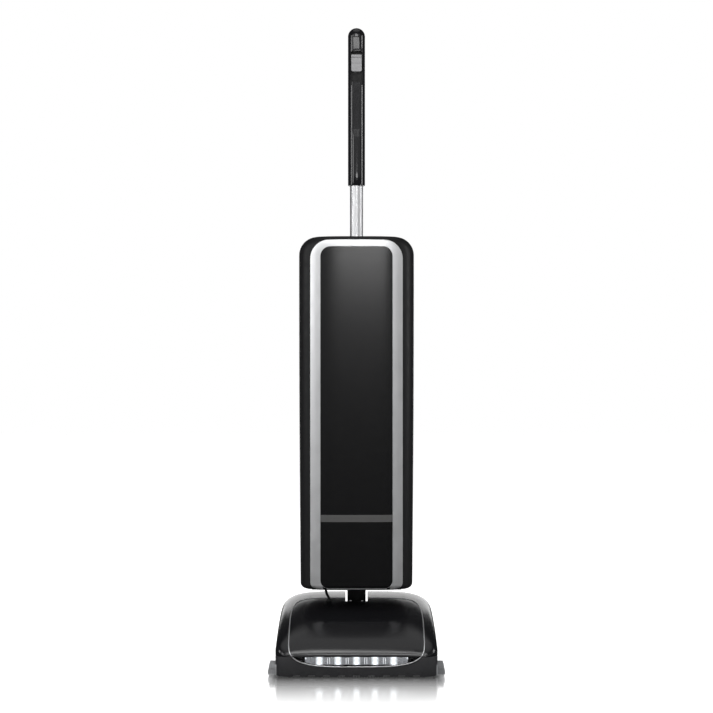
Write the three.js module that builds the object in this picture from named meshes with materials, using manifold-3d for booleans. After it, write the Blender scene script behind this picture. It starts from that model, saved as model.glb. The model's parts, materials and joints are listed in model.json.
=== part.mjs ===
// An upright vacuum cleaner: a floor nozzle with its motor, belt and brush roll, and an upright that
// tilts on it, with a bag housing, a hinged front door, a handle tube and a loop handle with a switch.
// Millimetres, +Z up, the front faces -Y, the floor is z = 0 and the origin is under the middle of it.
import * as THREE from "three";
import { mergeVertices } from "three/addons/utils/BufferGeometryUtils.js";
import { ParametricGeometry } from "three/addons/geometries/ParametricGeometry.js";
import Module from "manifold-3d";

const wasm = await Module();
wasm.setup();

// ---------------------------------------------------------------- fits and tools
const GAP = 0.3; // between pieces that touch
const RUNNING = 0.15; // radial play of a shaft in its bore
const WALL = 3; // moulded shells
const THIN_WALL = 2; // ducts and cans
const INTO = 1; // how far joined solids run into each other
const PAST = 5; // how far a cutting tool runs past a face
const SLIVER = 0.01; // keeps two faces from lying in one plane
const EVERYWHERE = 400; // reach of a tool that spans the whole object
const HIGH = 2000; // above everything
const SAME = 1e-3; // vertices closer than this are one
const HALVINGS = 30; // steps of the search for a point on the hood

// Sides of round pieces, and segments of each curve in an outline
const FINE_ROUND = 24;
const ROUND = 22;
const EAR_ROUND = 16;
const SMALL_ROUND = 10;
const TINY_ROUND = 8;
const CURVE = { coarse: 3, bar: 4, medium: 5, usual: 6, fine: 8 };

// ---------------------------------------------------------------- base
const BASE = { halfWidth: 149.5, halfDepth: 138, corner: 26, floor: 3, top: 39 };
const BUMPER = { thickness: 5, rear: 66, slots: 9, slotWidth: 13, slotHeight: 3.2 };
// The hood's crown line climbs from the front by the powers rise and fall, and drops at the back.
const HOOD = { bottom: 39.4, height: 88, crownY: 77, shoulder: 4.7, rise: 1.7, fall: 0.62, back: 2.5 };
const HOOD_OUTSIDE = { rings: 15, around: 20 };
const HOOD_INSIDE = { rings: 9, around: 16 };
const NOTCH = { halfWidth: 22, front: 8 }; // in the hood, for the neck
const TRIM = { halfWidth: 125, middle: 71.5, up: 53, down: 50.5, upPower: 7, downPower: 4.2, radius: 1 };
const TRIM_MESH = { around: 36, sides: 4, outline: 28 };
const FRAME = { inset: 5.5, floor: 5, deck: 8, wall: 2.5, top: 36 };
const SOLE = { inset: 7.5, thickness: 1.5, rear: -50 };
const NOZZLE = { halfWidth: 127, front: -114, rear: -58 };
const CHAMBER = { inner: 30.6, outer: 33, halfWidth: 139, front: -121.5, rear: -52 };
const EDGE_BRUSH = { front: -122, rear: -74, low: 2.8, middle: 12.5, high: 22, lower: 163.5, upper: 161.5 };
const LIGHT = { bottom: 25, top: 38.7, halfWidth: 84, lens: 2.4, depth: 9, board: 1.6, room: 20 };
const CUP = { count: 5, pitch: 34, mouth: 6.4, throat: 2.4, depth: 7 };
const LED = { radius: 2.5, length: 5, root: 1 };

// ---------------------------------------------------------------- drive
const ROLL = { y: -86, z: 30, core: 16, bristle: 28, halfLength: 131, groove: 13, shaft: 4, shaftReach: 139 };
const ROLL_BEARING = { radius: 9, reach: 141 };
const BRISTLES = { rows: 2, from: -110, to: 125, halfThickness: 2.4, rings: 11, twist: 1.1 };
const BELT = { x: -121, width: 9, thickness: 2, wayHalfWidth: 8, wayFront: -78, wayLow: 10 };
const MOTOR = { y: 4, z: 62, radius: 36, left: -95, right: 5, shaft: 4, pulley: 8, bearing: 9 };
const BRACKET = { thickness: 6, boss: 12, depth: 3 };
const SPINDLE = { left: -130, right: 56 };
const ARMATURE = { radius: 26, core: [-65, -9], commutator: 12, commutatorX: [-85, -64] };
const SADDLE = { starts: [-83, -15], width: 8, halfDepth: 24, top: 42 };
const FAN = { left: 30, right: 62, housing: 42, eye: 18, throatX: [33, 59], throatZ: [52, 86] };
const IMPELLER = { left: 35, right: 54, disc: 35, sides: 30, thickness: 2, hub: 9 };
const VANES = { count: 7, from: 7, to: 34 };
const INTAKE = { x: [62.3, 90], y: [-50.7, 28], z: [14, 84], mouthX: [66.3, 86], mouthZ: [18, 46] };
const SUCTION = { x: [66, 88], front: -72, top: 48 }; // the hole in the nozzle cover
const OUTLET = { x: [26.6, 61], y: [46.3, 80], z: [50, 86], throatZ: [54, 82] };

// ---------------------------------------------------------------- wheels
const WHEEL = { x: 122, y: 100, z: 25, radius: 25, width: 20, axle: 4, chamfer: 3, rim: 19, hub: 8, dish: 4 };
const WHEEL_ROOM = { side: 1.5, round: 3 };
const ROLLER = { x: 45, y: -42, radius: 8, width: 16, pin: 2, room: 1, pinEnd: 4 };
const LUG = { thickness: 3, halfDepth: 5, top: 14 };

// ---------------------------------------------------------------- tilting neck
const PIVOT = { y: 62, z: 68, barrel: 17, trunnion: 12, cheek: 22.3, cheekThickness: 4 };
const NECK = { halfWidth: 17.8, halfDepth: 15, corner: 4, airway: 9, ductX: 12, ductY: 10 };
const FLANGE = { halfWidth: 32, front: 4, rear: 1, thickness: 3.5 };
const NECK_SCREW = { x: 12, z: 113, shank: 1.8, length: 4, head: 3.4, headHeight: 2 };
const DETENT = { halfWidth: 9, thickness: 1.2, tip: -12, crest: 14, knee: 22, foot: [8, 26] };
const DETENT_DROP = { tip: 2, knee: 3 }; // how far its ends lie below the crest

// ---------------------------------------------------------------- housing
const HOUSING = { bottom: 147, top: 817, half: 110, seam: 12, front: 57, back: 73, tray: 5.5 };
const REAR = HOUSING.seam + HOUSING.back;
const SWELL = { depth: 3.2, start: 0.02, run: 0.58 }; // how the width grows towards the top
const WIDTH_ROUND = { top: 34, bottom: 10 };
const DEPTH_ROUND = { top: 12, bottom: 8.4 };
const FACE_POWER = { front: 3.5, back: 4 };
const HOUSING_RINGS = [0, 2, 8.4, 120, 440, 636, 648, 658, 665.5, 670];
const HOUSING_AROUND = 32;
const SOCKET = { wall: 4, bottom: 634, webHalfWidth: 8, webTop: 803 };
const VENT = { slots: 6, bottom: 238, pitch: 21, height: 9, inner: 34, outer: 84, depth: 12 };
const HINGE = { y: -36.5, z: 155.5, radius: 8.4, barrel: 7.5, reach: 84, pin: 2.1, rod: 66 };
const EAR = { x: 60, width: 6, radius: 5.2, back: 12.4, low: 5.1, high: 2.5 };
const BAND_THICKNESS = 1.6;
const BAND_OUTSIDE = { half: 87.5, low: 148.6, high: 810, topRadius: 36, bottomRadius: 14 };
const BAND_INSIDE = { half: 68, low: 151.6, high: 797, topRadius: 19, bottomRadius: 15 };
const STRIPE = { low: 276.5, high: 290, thickness: 0.5 };
const LATCH = { half: 17, depth: 15, low: 806, high: 816, pocket: 801 };
const LATCH_STEM = { half: 6, y: [15, 21], low: 793 };

// ---------------------------------------------------------------- dust path
const FILL_TUBE = { halfWidth: 17, front: 60, rear: 81, foot: 156.9, top: 606 };
const PORT = { z: 580, radius: 15, front: 27 };
const BAG = { halfWidth: 84, front: -28, rear: 36, bottom: 178, top: 628, corner: 40, foot: 24, lean: 5 };
const COLLAR = { halfWidth: 46, low: 545, high: 615, rear: 41, thickness: 3 };
const MOUTH = { play: 1, front: 23 }; // in the bag, round the port
const FILTER = { inner: 28, outer: 78, clear: 8.5, low: 232, high: 366, thickness: 7 };

// ---------------------------------------------------------------- handle
const TUBE = { y: 52, radius: 12.7, wall: 1.5, bottom: 640, top: 985 };
const TUBE_BOLT = { heights: [668, 780], shank: 2.5, head: 5, pocket: 3, inside: 3 };
const GRIP = { radius: 16.5, bottom: 921, top: 1228, socket: 988, around: 24, rings: 12 };
const LOOP = {
  radius: 13,
  steps: 18,
  // how far the bar's middle lies behind the tube's axis, and how far below the handle's top
  route: [
    [4, 18],
    [26, 15],
    [50, 30],
    [62, 66],
    [58, 112],
    [40, 160],
    [18, 196],
    [2, 214],
  ],
};
const WELL = { halfWidth: 11.4, low: 1121, high: 1181, floor: 45.5, corner: 4 };
const SLOT = { half: 3, rear: 56, low: 1129, high: 1173 };
const SWITCH_ROOM = { half: 7, front: 48.5, rear: 62, low: 1125, high: 1177 };
const SWITCH_BODY = { half: 6, front: 51.5, rear: 61, low: 1127, high: 1175, groove: 2.6, grooveRear: 54.5 };
const KNOB = { half: 10, front: 36.1, low: 1142, high: 1174, corner: 2 };
const KNOB_STEM = { half: 2, rear: 53.5, low: 1154, high: 1160 };
const INLET = { z: 948, radius: 8, bore: 4, throat: 3.5, flange: 4, taper: 3, length: 22 };

// ---------------------------------------------------------------- cord hooks and jumper cable
const HOOK = { upper: 772, lower: 330, arm: 44, width: 16, thickness: 6, stand: 26 };
const CABLE = {
  radius: 2.5,
  steps: 10,
  tray: { x: -60, y: 34, play: 1.5 },
  hood: { x: -53, y: 12 },
  route: [
    [-60, 35, 173],
    [-60, 34, 159],
    [-60, 33, 145],
    [-58, 25, 133],
    [-53, 12, 124],
    [-53, 12, 115],
    [-53, 12, 107],
  ],
};
const GROMMET = { outer: 4.7, inner: 3.6, low: 116, high: 122.5 };

const material = (color, roughness, metalness = 0) =>
  new THREE.MeshStandardMaterial({ color, roughness, metalness });
const GLOSS_BLACK = material(0x0b0b0d, 0.12);
const SATIN_BLACK = material(0x141416, 0.45);
const BUMPER_GREY = material(0x2b2c2e, 0.55);
const SILVER = material(0xb9babd, 0.35, 0.6);
const STRIPE_GREY = material(0x4e4e4c, 0.5);
const ALUMINIUM = material(0xc8cacd, 0.3, 0.9);
const STEEL = material(0x9a9da1, 0.35, 0.9);
const CHROME = material(0xe2e4e6, 0.1, 1);
const RUBBER = material(0x1a1a1a, 0.85);
const CLEAR = material(0xeef2f5, 0.05);
const GREY_PLASTIC = material(0x9b9c9e, 0.5);
const BRISTLE = material(0x8d8f92, 0.8);
const PAPER = material(0xd9cfb8, 0.9);
const COPPER = material(0xb5713a, 0.4, 0.8);
const WHITE_PAD = material(0xe6e6e2, 0.95);
const BOARD_GREEN = material(0x1d5a3a, 0.5);

const vacuum = new THREE.Group();
const EVERY_X = [-EVERYWHERE, EVERYWHERE];
const SIDES = [
  ["left", -1],
  ["right", 1],
];

// ---------------------------------------------------------------- solids
// A closed body of a geometry, its seams welded and its faces turned outwards.
function solid(geometry) {
  const bare = geometry.clone();
  bare.deleteAttribute("normal");
  bare.deleteAttribute("uv");
  const merged = mergeVertices(bare, SAME);
  const corners = merged.index.array;
  const kept = [];
  for (let i = 0; i < corners.length; i += 3) {
    const [a, b, c] = corners.slice(i, i + 3);
    if (a !== b && b !== c && c !== a) kept.push(a, b, c);
  }
  const build = (triVerts) =>
    new wasm.Manifold(
      new wasm.Mesh({
        numProp: 3,
        vertProperties: merged.attributes.position.array,
        triVerts: new Uint32Array(triVerts),
      }),
    );
  const made = build(kept);
  if (made.volume() > 0) return made;
  return build(kept.reverse());
}

function geometryOf(body) {
  const mesh = body.getMesh();
  const geometry = new THREE.BufferGeometry();
  geometry.setAttribute("position", new THREE.BufferAttribute(mesh.vertProperties, mesh.numProp));
  geometry.setIndex(new THREE.BufferAttribute(mesh.triVerts, 1));
  geometry.computeVertexNormals();
  return geometry;
}

// A cut through a curved wall can leave a crumb beside the piece, so only the piece itself is kept.
function withoutCrumbs(body) {
  const bodies = body.decompose().sort((a, b) => b.volume() - a.volume());
  return bodies[0];
}

function piece(name, body, finish) {
  const mesh = new THREE.Mesh(geometryOf(withoutCrumbs(body)), finish);
  mesh.name = name;
  vacuum.add(mesh);
}

const join = (...bodies) => bodies.reduce((whole, body) => whole.add(body));
const cut = (body, ...tools) => tools.reduce((whole, tool) => whole.subtract(tool), body);
const mirrored = (side, [a, b]) => (side > 0 ? [a, b] : [-b, -a]);
const both = (reach) => [-reach, reach];
const about = (middle, reach) => [middle - reach, middle + reach];
const shrunk = ([a, b], by) => [a + by, b - by];

// The radius of a bore that a turning shaft clears, the corners of both counted.
const bore = (radius, sides) => (radius + RUNNING) / Math.cos(Math.PI / sides);

function box([x0, x1], [y0, y1], [z0, z1]) {
  const geometry = new THREE.BoxGeometry(x1 - x0, y1 - y0, z1 - z0);
  return solid(geometry.translate((x0 + x1) / 2, (y0 + y1) / 2, (z0 + z1) / 2));
}

function rodX(radius, [x0, x1], y, z, sides = ROUND) {
  const geometry = new THREE.CylinderGeometry(radius, radius, x1 - x0, sides);
  return solid(geometry.rotateZ(Math.PI / 2).translate((x0 + x1) / 2, y, z));
}

function rodY(radius, [y0, y1], x, z, sides = ROUND) {
  const geometry = new THREE.CylinderGeometry(radius, radius, y1 - y0, sides);
  return solid(geometry.translate(x, (y0 + y1) / 2, z));
}

function rodZ(radius, [z0, z1], x, y, sides = ROUND) {
  const geometry = new THREE.CylinderGeometry(radius, radius, z1 - z0, sides);
  return solid(geometry.rotateX(Math.PI / 2).translate(x, y, (z0 + z1) / 2));
}

function turned(profile, sides) {
  return new THREE.LatheGeometry(profile.map(([radius, along]) => new THREE.Vector2(radius, along)), sides);
}

function extrude(shape, length, curveSegments = CURVE.usual) {
  return new THREE.ExtrudeGeometry(shape, { depth: length, bevelEnabled: false, curveSegments });
}

// An outline in x and y, raised along Z.
const prismZ = (shape, [z0, z1], segments) => solid(extrude(shape, z1 - z0, segments).translate(0, 0, z0));

// An outline in x and z, run along Y.
const prismY = (shape, [y0, y1], segments) =>
  solid(extrude(shape, y1 - y0, segments).rotateX(Math.PI / 2).translate(0, y1, 0));

// An outline in y and z, run along X.
const prismX = (shape, [x0, x1], segments) =>
  solid(extrude(shape, x1 - x0, segments).rotateY(Math.PI / 2).rotateX(Math.PI / 2).translate(x0, 0, 0));

function outline(points) {
  return new THREE.Shape(points.map(([a, b]) => new THREE.Vector2(a, b)));
}

// A rectangle with one radius for its two lower corners and one for its two upper corners.
function roundedRect([a0, a1], [b0, b1], lower, upper = lower) {
  const shape = new THREE.Shape();
  shape.moveTo(a0 + lower, b0);
  shape.lineTo(a1 - lower, b0);
  shape.absarc(a1 - lower, b0 + lower, lower, -Math.PI / 2, 0);
  shape.lineTo(a1, b1 - upper);
  shape.absarc(a1 - upper, b1 - upper, upper, 0, Math.PI / 2);
  shape.lineTo(a0 + upper, b1);
  shape.absarc(a0 + upper, b1 - upper, upper, Math.PI / 2, Math.PI);
  shape.lineTo(a0, b0 + lower);
  shape.absarc(a0 + lower, b0 + lower, lower, Math.PI, 1.5 * Math.PI);
  return shape;
}

// A closed body through rings of points, where point(i, k) is point i of ring k.
function loft(rings, around, point) {
  const place = (u, v, target) => {
    const [x, y, z] = point((u * around) % around, Math.round(v * (rings - 1)));
    target.set(x, y, z);
  };
  return solid(new ParametricGeometry(place, around, rings - 1));
}

// A round bar along a curve.
function bar(points, radius, steps) {
  const curve = new THREE.CatmullRomCurve3(points.map(([x, y, z]) => new THREE.Vector3(x, y, z)));
  const section = new THREE.Shape();
  section.absarc(0, 0, radius, 0, 2 * Math.PI);
  const options = { steps, extrudePath: curve, curveSegments: CURVE.bar };
  return solid(new THREE.ExtrudeGeometry(section, options));
}

// ---------------------------------------------------------------- base outline and hood surface
function baseOutline(inset) {
  return roundedRect(both(BASE.halfWidth - inset), both(BASE.halfDepth - inset), BASE.corner - inset);
}

function baseHalfWidth(y, inset) {
  const straight = BASE.halfDepth - BASE.corner;
  const past = Math.max(0, Math.abs(y) - straight);
  const radius = BASE.corner - inset;
  return BASE.halfWidth - BASE.corner + Math.sqrt(Math.max(0, radius ** 2 - Math.min(past, radius) ** 2));
}

// How high the hood's middle line stands over its lower edge.
function crownHeight(y, inset) {
  const height = HOOD.height - inset;
  if (y <= HOOD.crownY) {
    const run = (HOOD.crownY - y) / (HOOD.crownY + BASE.halfDepth - inset);
    return height * Math.max(0, 1 - run ** HOOD.rise) ** HOOD.fall;
  }
  const run = (y - HOOD.crownY) / (BASE.halfDepth - inset - HOOD.crownY);
  return height * Math.max(0, 1 - run ** HOOD.back) ** (1 / HOOD.back);
}

function hoodDome(inset, { rings, around }) {
  const low = -BASE.halfDepth + inset;
  const high = BASE.halfDepth - inset;
  const half = around / 2;
  return loft(rings, around, (i, k) => {
    const along = (1 - Math.cos((Math.PI * k) / (rings - 1))) / 2;
    const y = low + (high - low) * along;
    const width = baseHalfWidth(y, inset);
    const angle = (Math.PI * (i <= half ? i : around - i)) / half;
    const x = -width * Math.sign(Math.cos(angle)) * Math.abs(Math.cos(angle)) ** (2 / HOOD.shoulder);
    const rise = i <= half ? Math.abs(Math.sin(angle)) ** (2 / HOOD.shoulder) : 0;
    return [x, y, HOOD.bottom + rise * crownHeight(y, inset)];
  });
}

// The place on the hood's front and top above the point (x, z) of a front view.
function onHood(x, z) {
  let near = -BASE.halfDepth;
  let far = HOOD.crownY;
  const surface = (y) => {
    const share = Math.min(1, Math.abs(x) / baseHalfWidth(y, 0));
    return HOOD.bottom + crownHeight(y, 0) * (1 - share ** HOOD.shoulder) ** (1 / HOOD.shoulder);
  };
  for (let step = 0; step < HALVINGS; step += 1) {
    const middle = (near + far) / 2;
    if (surface(middle) < z) near = middle;
    else far = middle;
  }
  return near;
}

// The trim's line in a front view: two halves of a rounded box that meet at the widest point.
function trimPoint(turn, grow = 0) {
  const c = Math.cos(turn);
  const s = Math.sin(turn);
  const power = s > 0 ? TRIM.upPower : TRIM.downPower;
  const x = (TRIM.halfWidth + grow) * Math.sign(c) * Math.abs(c) ** (2 / power);
  const reach = (s > 0 ? TRIM.up : TRIM.down) + grow;
  return [x, TRIM.middle + reach * Math.sign(s) * Math.abs(s) ** (2 / power)];
}

// A closed ring along the trim's line: over the hood above its edge, down the flat face below it.
function trimRing(radius) {
  const { around, sides } = TRIM_MESH;
  const centre = (i) => {
    const [x, z] = trimPoint((2 * Math.PI * i) / around);
    const y = z > HOOD.bottom ? onHood(x, z) : -BASE.halfDepth;
    return new THREE.Vector3(x, Math.max(y, TRIM.radius - BASE.halfDepth), z);
  };
  const forward = new THREE.Vector3(0, -1, 0);
  return loft(around + 1, sides, (i, k) => {
    const here = centre(k % around);
    const ahead = centre((k + 1) % around);
    const behind = centre((k + around - 1) % around);
    const tangent = ahead.sub(behind).normalize();
    const across = new THREE.Vector3().crossVectors(tangent, forward).normalize();
    const out = new THREE.Vector3().crossVectors(across, tangent);
    const turn = (2 * Math.PI * i) / sides;
    here.addScaledVector(across, radius * Math.cos(turn));
    here.addScaledVector(out, radius * Math.sin(turn));
    return here.toArray();
  });
}

function trimOutline(grow) {
  const points = [];
  for (let i = 0; i < TRIM_MESH.outline; i += 1) {
    points.push(trimPoint((2 * Math.PI * i) / TRIM_MESH.outline, grow));
  }
  return outline(points);
}

// ---------------------------------------------------------------- base shells
// The notch lets the neck swing down at the rear.
const neckNotch = (z) => box(both(NOTCH.halfWidth), [NOTCH.front, BASE.halfDepth + 2 * PAST], z);

// The glossy dome over the motor, with the trim's groove and the cable's hole.
function makeHood() {
  const { x, y } = CABLE.hood;
  const shell = cut(
    hoodDome(0, HOOD_OUTSIDE),
    hoodDome(WALL, HOOD_INSIDE),
    prismZ(baseOutline(WALL), [HOOD.bottom - PAST, HOOD.bottom + GAP]),
    neckNotch([0, HIGH]),
    trimRing(TRIM.radius + GAP),
    rodZ(GROMMET.outer + GAP, [HOOD.bottom, HIGH], x, y, SMALL_ROUND),
  );
  piece("hood", shell, GLOSS_BLACK);
}

// The thin bright line on the hood and round the light.
function makeTrim() {
  piece("hood_trim", cut(trimRing(TRIM.radius), neckNotch([HOOD.bottom, HIGH])), SILVER);
}

// The soft band round the front and sides, notched under the front edge and open for the edge brushes.
function makeBumper() {
  const { thickness, rear, slots, slotWidth, slotHeight } = BUMPER;
  const face = [-BASE.halfDepth - PAST, -BASE.halfDepth + 2 * PAST];
  const pitch = (2 * (BASE.halfWidth - BASE.corner)) / slots;
  const tools = [];
  for (let i = 0; i < slots; i += 1) {
    const x = (i - (slots - 1) / 2) * pitch;
    tools.push(box(about(x, slotWidth / 2), face, [0, BASE.floor + slotHeight]));
  }
  for (const [, side] of SIDES) {
    const reach = mirrored(side, [BASE.halfWidth - 2 * PAST, BASE.halfWidth + PAST]);
    tools.push(box(reach, shrunk([EDGE_BRUSH.front, EDGE_BRUSH.rear], -GAP), [0, EDGE_BRUSH.high + GAP]));
  }
  const band = cut(
    prismZ(baseOutline(0), [BASE.floor, BASE.top]),
    prismZ(baseOutline(thickness), [0, BASE.top + PAST]),
    box(EVERY_X, [rear, EVERYWHERE], [0, HIGH]),
    prismY(trimOutline(TRIM.radius + GAP), face),
    ...tools,
  );
  piece("bumper", band, BUMPER_GREY);
}

// The tub under the hood: deck, walls, brush chamber, neck cheeks, motor saddles, wheel wells and lugs.
function makeFrame() {
  const { inset, floor, deck, wall, top } = FRAME;
  const halfY = BASE.halfDepth - inset;
  const lightRoom = box(both(TRIM.halfWidth), [-halfY - PAST, CHAMBER.front], [LIGHT.room, HIGH]);
  const neckRoom = box(both(NOTCH.halfWidth), [halfY - 2 * wall, halfY + PAST], [deck, HIGH]);
  const tub = cut(
    prismZ(baseOutline(inset), [floor, top]),
    prismZ(baseOutline(inset + wall), [deck, top + PAST]),
    lightRoom,
    neckRoom,
  );
  const onDeck = deck - INTO;
  const chamberWall = [onDeck, ROLL.z - GAP];
  const parts = [
    box(both(CHAMBER.halfWidth), [CHAMBER.front, CHAMBER.front + wall], chamberWall),
    box(both(CHAMBER.halfWidth), [CHAMBER.rear - wall, CHAMBER.rear], chamberWall),
  ];
  for (const [, side] of SIDES) {
    const cheek = mirrored(side, [PIVOT.cheek, PIVOT.cheek + PIVOT.cheekThickness]);
    const reach = PIVOT.barrel - INTO;
    parts.push(box(cheek, about(PIVOT.y, reach), [onDeck, PIVOT.z]));
    parts.push(rodX(reach, cheek, PIVOT.y, PIVOT.z));
  }
  for (const x of SADDLE.starts) {
    parts.push(box([x, x + SADDLE.width], about(MOTOR.y, SADDLE.halfDepth), [onDeck, SADDLE.top]));
  }
  const tools = [
    rodX(MOTOR.radius + GAP, [MOTOR.left, MOTOR.right], MOTOR.y, MOTOR.z),
    rodX(PIVOT.trunnion + RUNNING, both(2 * PIVOT.cheek), PIVOT.y, PIVOT.z),
    rodX(WHEEL.axle + RUNNING, EVERY_X, WHEEL.y, WHEEL.z, SMALL_ROUND),
    box(both(NOZZLE.halfWidth), [NOZZLE.front, NOZZLE.rear], [0, deck + PAST]),
    box(about(BELT.x, BELT.wayHalfWidth), about(CHAMBER.rear, PAST), [BELT.wayLow, HIGH]),
  ];
  for (const [, side] of SIDES) {
    const wheelX = about(side * WHEEL.x, WHEEL.width / 2 + WHEEL_ROOM.side);
    tools.push(box(wheelX, about(WHEEL.y, WHEEL.radius + WHEEL_ROOM.round), [0, top - THIN_WALL]));
    const rollerX = about(side * ROLLER.x, ROLLER.width / 2 + ROLLER.room);
    tools.push(box(rollerX, about(ROLLER.y, ROLLER.radius + ROLLER.room), [0, deck + PAST]));
  }
  const frame = cut(join(tub, ...parts), ...tools);
  piece("base_frame", cut(join(frame, ...rollerLugs()), ...rollerPinBores()), SATIN_BLACK);
}

// The lugs that hold the front rollers' pins, one each side of each roller.
function rollerLugs() {
  const lugs = [];
  const middle = ROLLER.width / 2 + ROLLER.room + LUG.thickness / 2 + INTO;
  for (const [, side] of SIDES) {
    for (const end of [-1, 1]) {
      const x = about(side * ROLLER.x + end * middle, LUG.thickness / 2);
      lugs.push(box(x, about(ROLLER.y, LUG.halfDepth), [FRAME.floor, LUG.top]));
    }
  }
  return lugs;
}

function rollerPinBores() {
  return SIDES.map(([, side]) => {
    const reach = about(side * ROLLER.x, 2 * ROLLER.width);
    return rodX(ROLLER.pin + RUNNING, reach, ROLLER.y, ROLLER.radius, SMALL_ROUND);
  });
}

// The steel plate under the front of the base, with the mouth for the brush roll.
function makeSolePlate() {
  const top = FRAME.floor - GAP;
  const plate = cut(
    prismZ(baseOutline(SOLE.inset), [top - SOLE.thickness, top]),
    box(EVERY_X, [SOLE.rear, EVERYWHERE], [0, HIGH]),
    box(both(NOZZLE.halfWidth), [NOZZLE.front, NOZZLE.rear], [0, HIGH]),
  );
  piece("sole_plate", plate, STEEL);
}

// The arch over the brush roll, open to the belt and to the intake duct.
function makeNozzleCover() {
  const { inner, outer, halfWidth, rear } = CHAMBER;
  const behind = rear + PAST;
  const arch = cut(
    rodX(outer, both(halfWidth), ROLL.y, ROLL.z),
    rodX(inner, both(halfWidth - THIN_WALL), ROLL.y, ROLL.z),
    box(EVERY_X, [-EVERYWHERE, 0], [-PAST, ROLL.z]),
    rodX(ROLL_BEARING.radius + GAP, EVERY_X, ROLL.y, ROLL.z),
    box(about(BELT.x, BELT.wayHalfWidth), [BELT.wayFront, behind], [0, HIGH]),
    box(SUCTION.x, [SUCTION.front, behind], [0, SUCTION.top]),
  );
  piece("nozzle_cover", arch, SATIN_BLACK);
}

// The bristle blocks that stick out at the base's front corners, in two steps.
function makeEdgeBrushes() {
  const { front, rear, low, middle, high, lower, upper } = EDGE_BRUSH;
  const root = BASE.halfWidth - BUMPER.thickness + GAP;
  for (const [name, side] of SIDES) {
    const brush = join(
      box(mirrored(side, [root, lower]), [front, rear], [low, middle]),
      box(mirrored(side, [root, upper]), [front, rear], [middle - INTO, high]),
    );
    piece(`edge_brush_${name}`, brush, BRISTLE);
  }
}

// ---------------------------------------------------------------- light
const cupX = (i) => (i - (CUP.count - 1) / 2) * CUP.pitch;

// The front light: a clear window, a bright reflector with a cup for each lamp, and their board.
function makeLight() {
  const { bottom, top, halfWidth, lens, depth, board } = LIGHT;
  const face = -BASE.halfDepth;
  const window = prismY(trimOutline(-TRIM.radius - GAP), [face, face + lens]);
  piece("light_lens", window.intersect(box(EVERY_X, [-EVERYWHERE, 0], [0, top])), CLEAR);

  const front = face + lens + GAP;
  const rear = front + depth;
  const middle = (bottom + top) / 2;
  const cups = [];
  const boardParts = [box(both(halfWidth), [rear + GAP, rear + GAP + board], [bottom, top])];
  for (let i = 0; i < CUP.count; i += 1) {
    const cone = new THREE.CylinderGeometry(CUP.mouth, CUP.throat, CUP.depth, SMALL_ROUND);
    cups.push(solid(cone.rotateX(Math.PI).translate(cupX(i), front + CUP.depth / 2 - SLIVER, middle)));
    cups.push(rodY(LED.radius + GAP, [front, rear + INTO], cupX(i), middle, TINY_ROUND));
    const lamp = [rear + LED.root - LED.length, rear + LED.root];
    boardParts.push(rodY(LED.radius, lamp, cupX(i), middle, TINY_ROUND));
  }
  piece("light_reflector", cut(box(both(halfWidth), [front, rear], [bottom, top]), ...cups), CHROME);
  piece("led_board", join(...boardParts), BOARD_GREEN);
}

// ---------------------------------------------------------------- drive
// The roll that the belt turns: a grooved core on a thin shaft, two bristle rows and two end bearings.
function makeBrushRoll() {
  const { y, z, core, bristle, groove, shaft } = ROLL;
  const grooveX = about(BELT.x, BELT.width / 2 + INTO);
  const body = cut(
    join(rodX(core, both(ROLL.halfLength), y, z), rodX(shaft, both(ROLL.shaftReach), y, z, SMALL_ROUND)),
    cut(rodX(core + PAST, grooveX, y, z), rodX(groove, grooveX, y, z)),
  );
  piece("roll_core", body, SATIN_BLACK);

  const { rows, from, to, halfThickness, rings, twist } = BRISTLES;
  for (let row = 0; row < rows; row += 1) {
    const corners = [-halfThickness, halfThickness, halfThickness, -halfThickness];
    const strip = loft(rings + 2, corners.length, (i, k) => {
      const share = Math.min(Math.max(k - 1, 0), rings - 1) / (rings - 1);
      const turn = Math.PI * (share * twist + row);
      const capped = k === 0 || k === rings + 1;
      const edge = i > 1 ? bristle : core + GAP;
      const radial = capped ? (core + bristle) / 2 : edge;
      const side = capped ? 0 : corners[i];
      const along = y + radial * Math.cos(turn) - side * Math.sin(turn);
      const up = z + radial * Math.sin(turn) + side * Math.cos(turn);
      return [from + (to - from) * share, along, up];
    });
    piece(`bristle_row_${row + 1}`, strip, BRISTLE);
  }

  for (const [name, side] of SIDES) {
    const cap = cut(
      rodX(ROLL_BEARING.radius, mirrored(side, [ROLL.halfLength + GAP, ROLL_BEARING.reach]), y, z),
      rodX(bore(shaft, SMALL_ROUND), EVERY_X, y, z, SMALL_ROUND),
    );
    piece(`roll_bearing_${name}`, cap, GREY_PLASTIC);
  }
}

// The belt round the motor's pulley and the roll's groove.
function makeBelt() {
  const from = new THREE.Vector2(MOTOR.y, MOTOR.z);
  const to = new THREE.Vector2(ROLL.y, ROLL.z);
  const angle = Math.atan2(to.y - from.y, to.x - from.x);
  const loop = (grow) => {
    const near = MOTOR.pulley + grow;
    const far = ROLL.groove + grow;
    const lean = Math.acos((near - far) / from.distanceTo(to));
    const shape = new THREE.Shape();
    shape.absarc(from.x, from.y, near, angle + lean, angle - lean + 2 * Math.PI, false);
    shape.absarc(to.x, to.y, far, angle - lean, angle + lean, false);
    return shape;
  };
  const half = BELT.width / 2;
  const outside = prismX(loop(GAP + BELT.thickness), about(BELT.x, half), CURVE.fine);
  const inside = prismX(loop(GAP), about(BELT.x, half + PAST), CURVE.fine);
  piece("drive_belt", cut(outside, inside), RUBBER);
}

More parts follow.
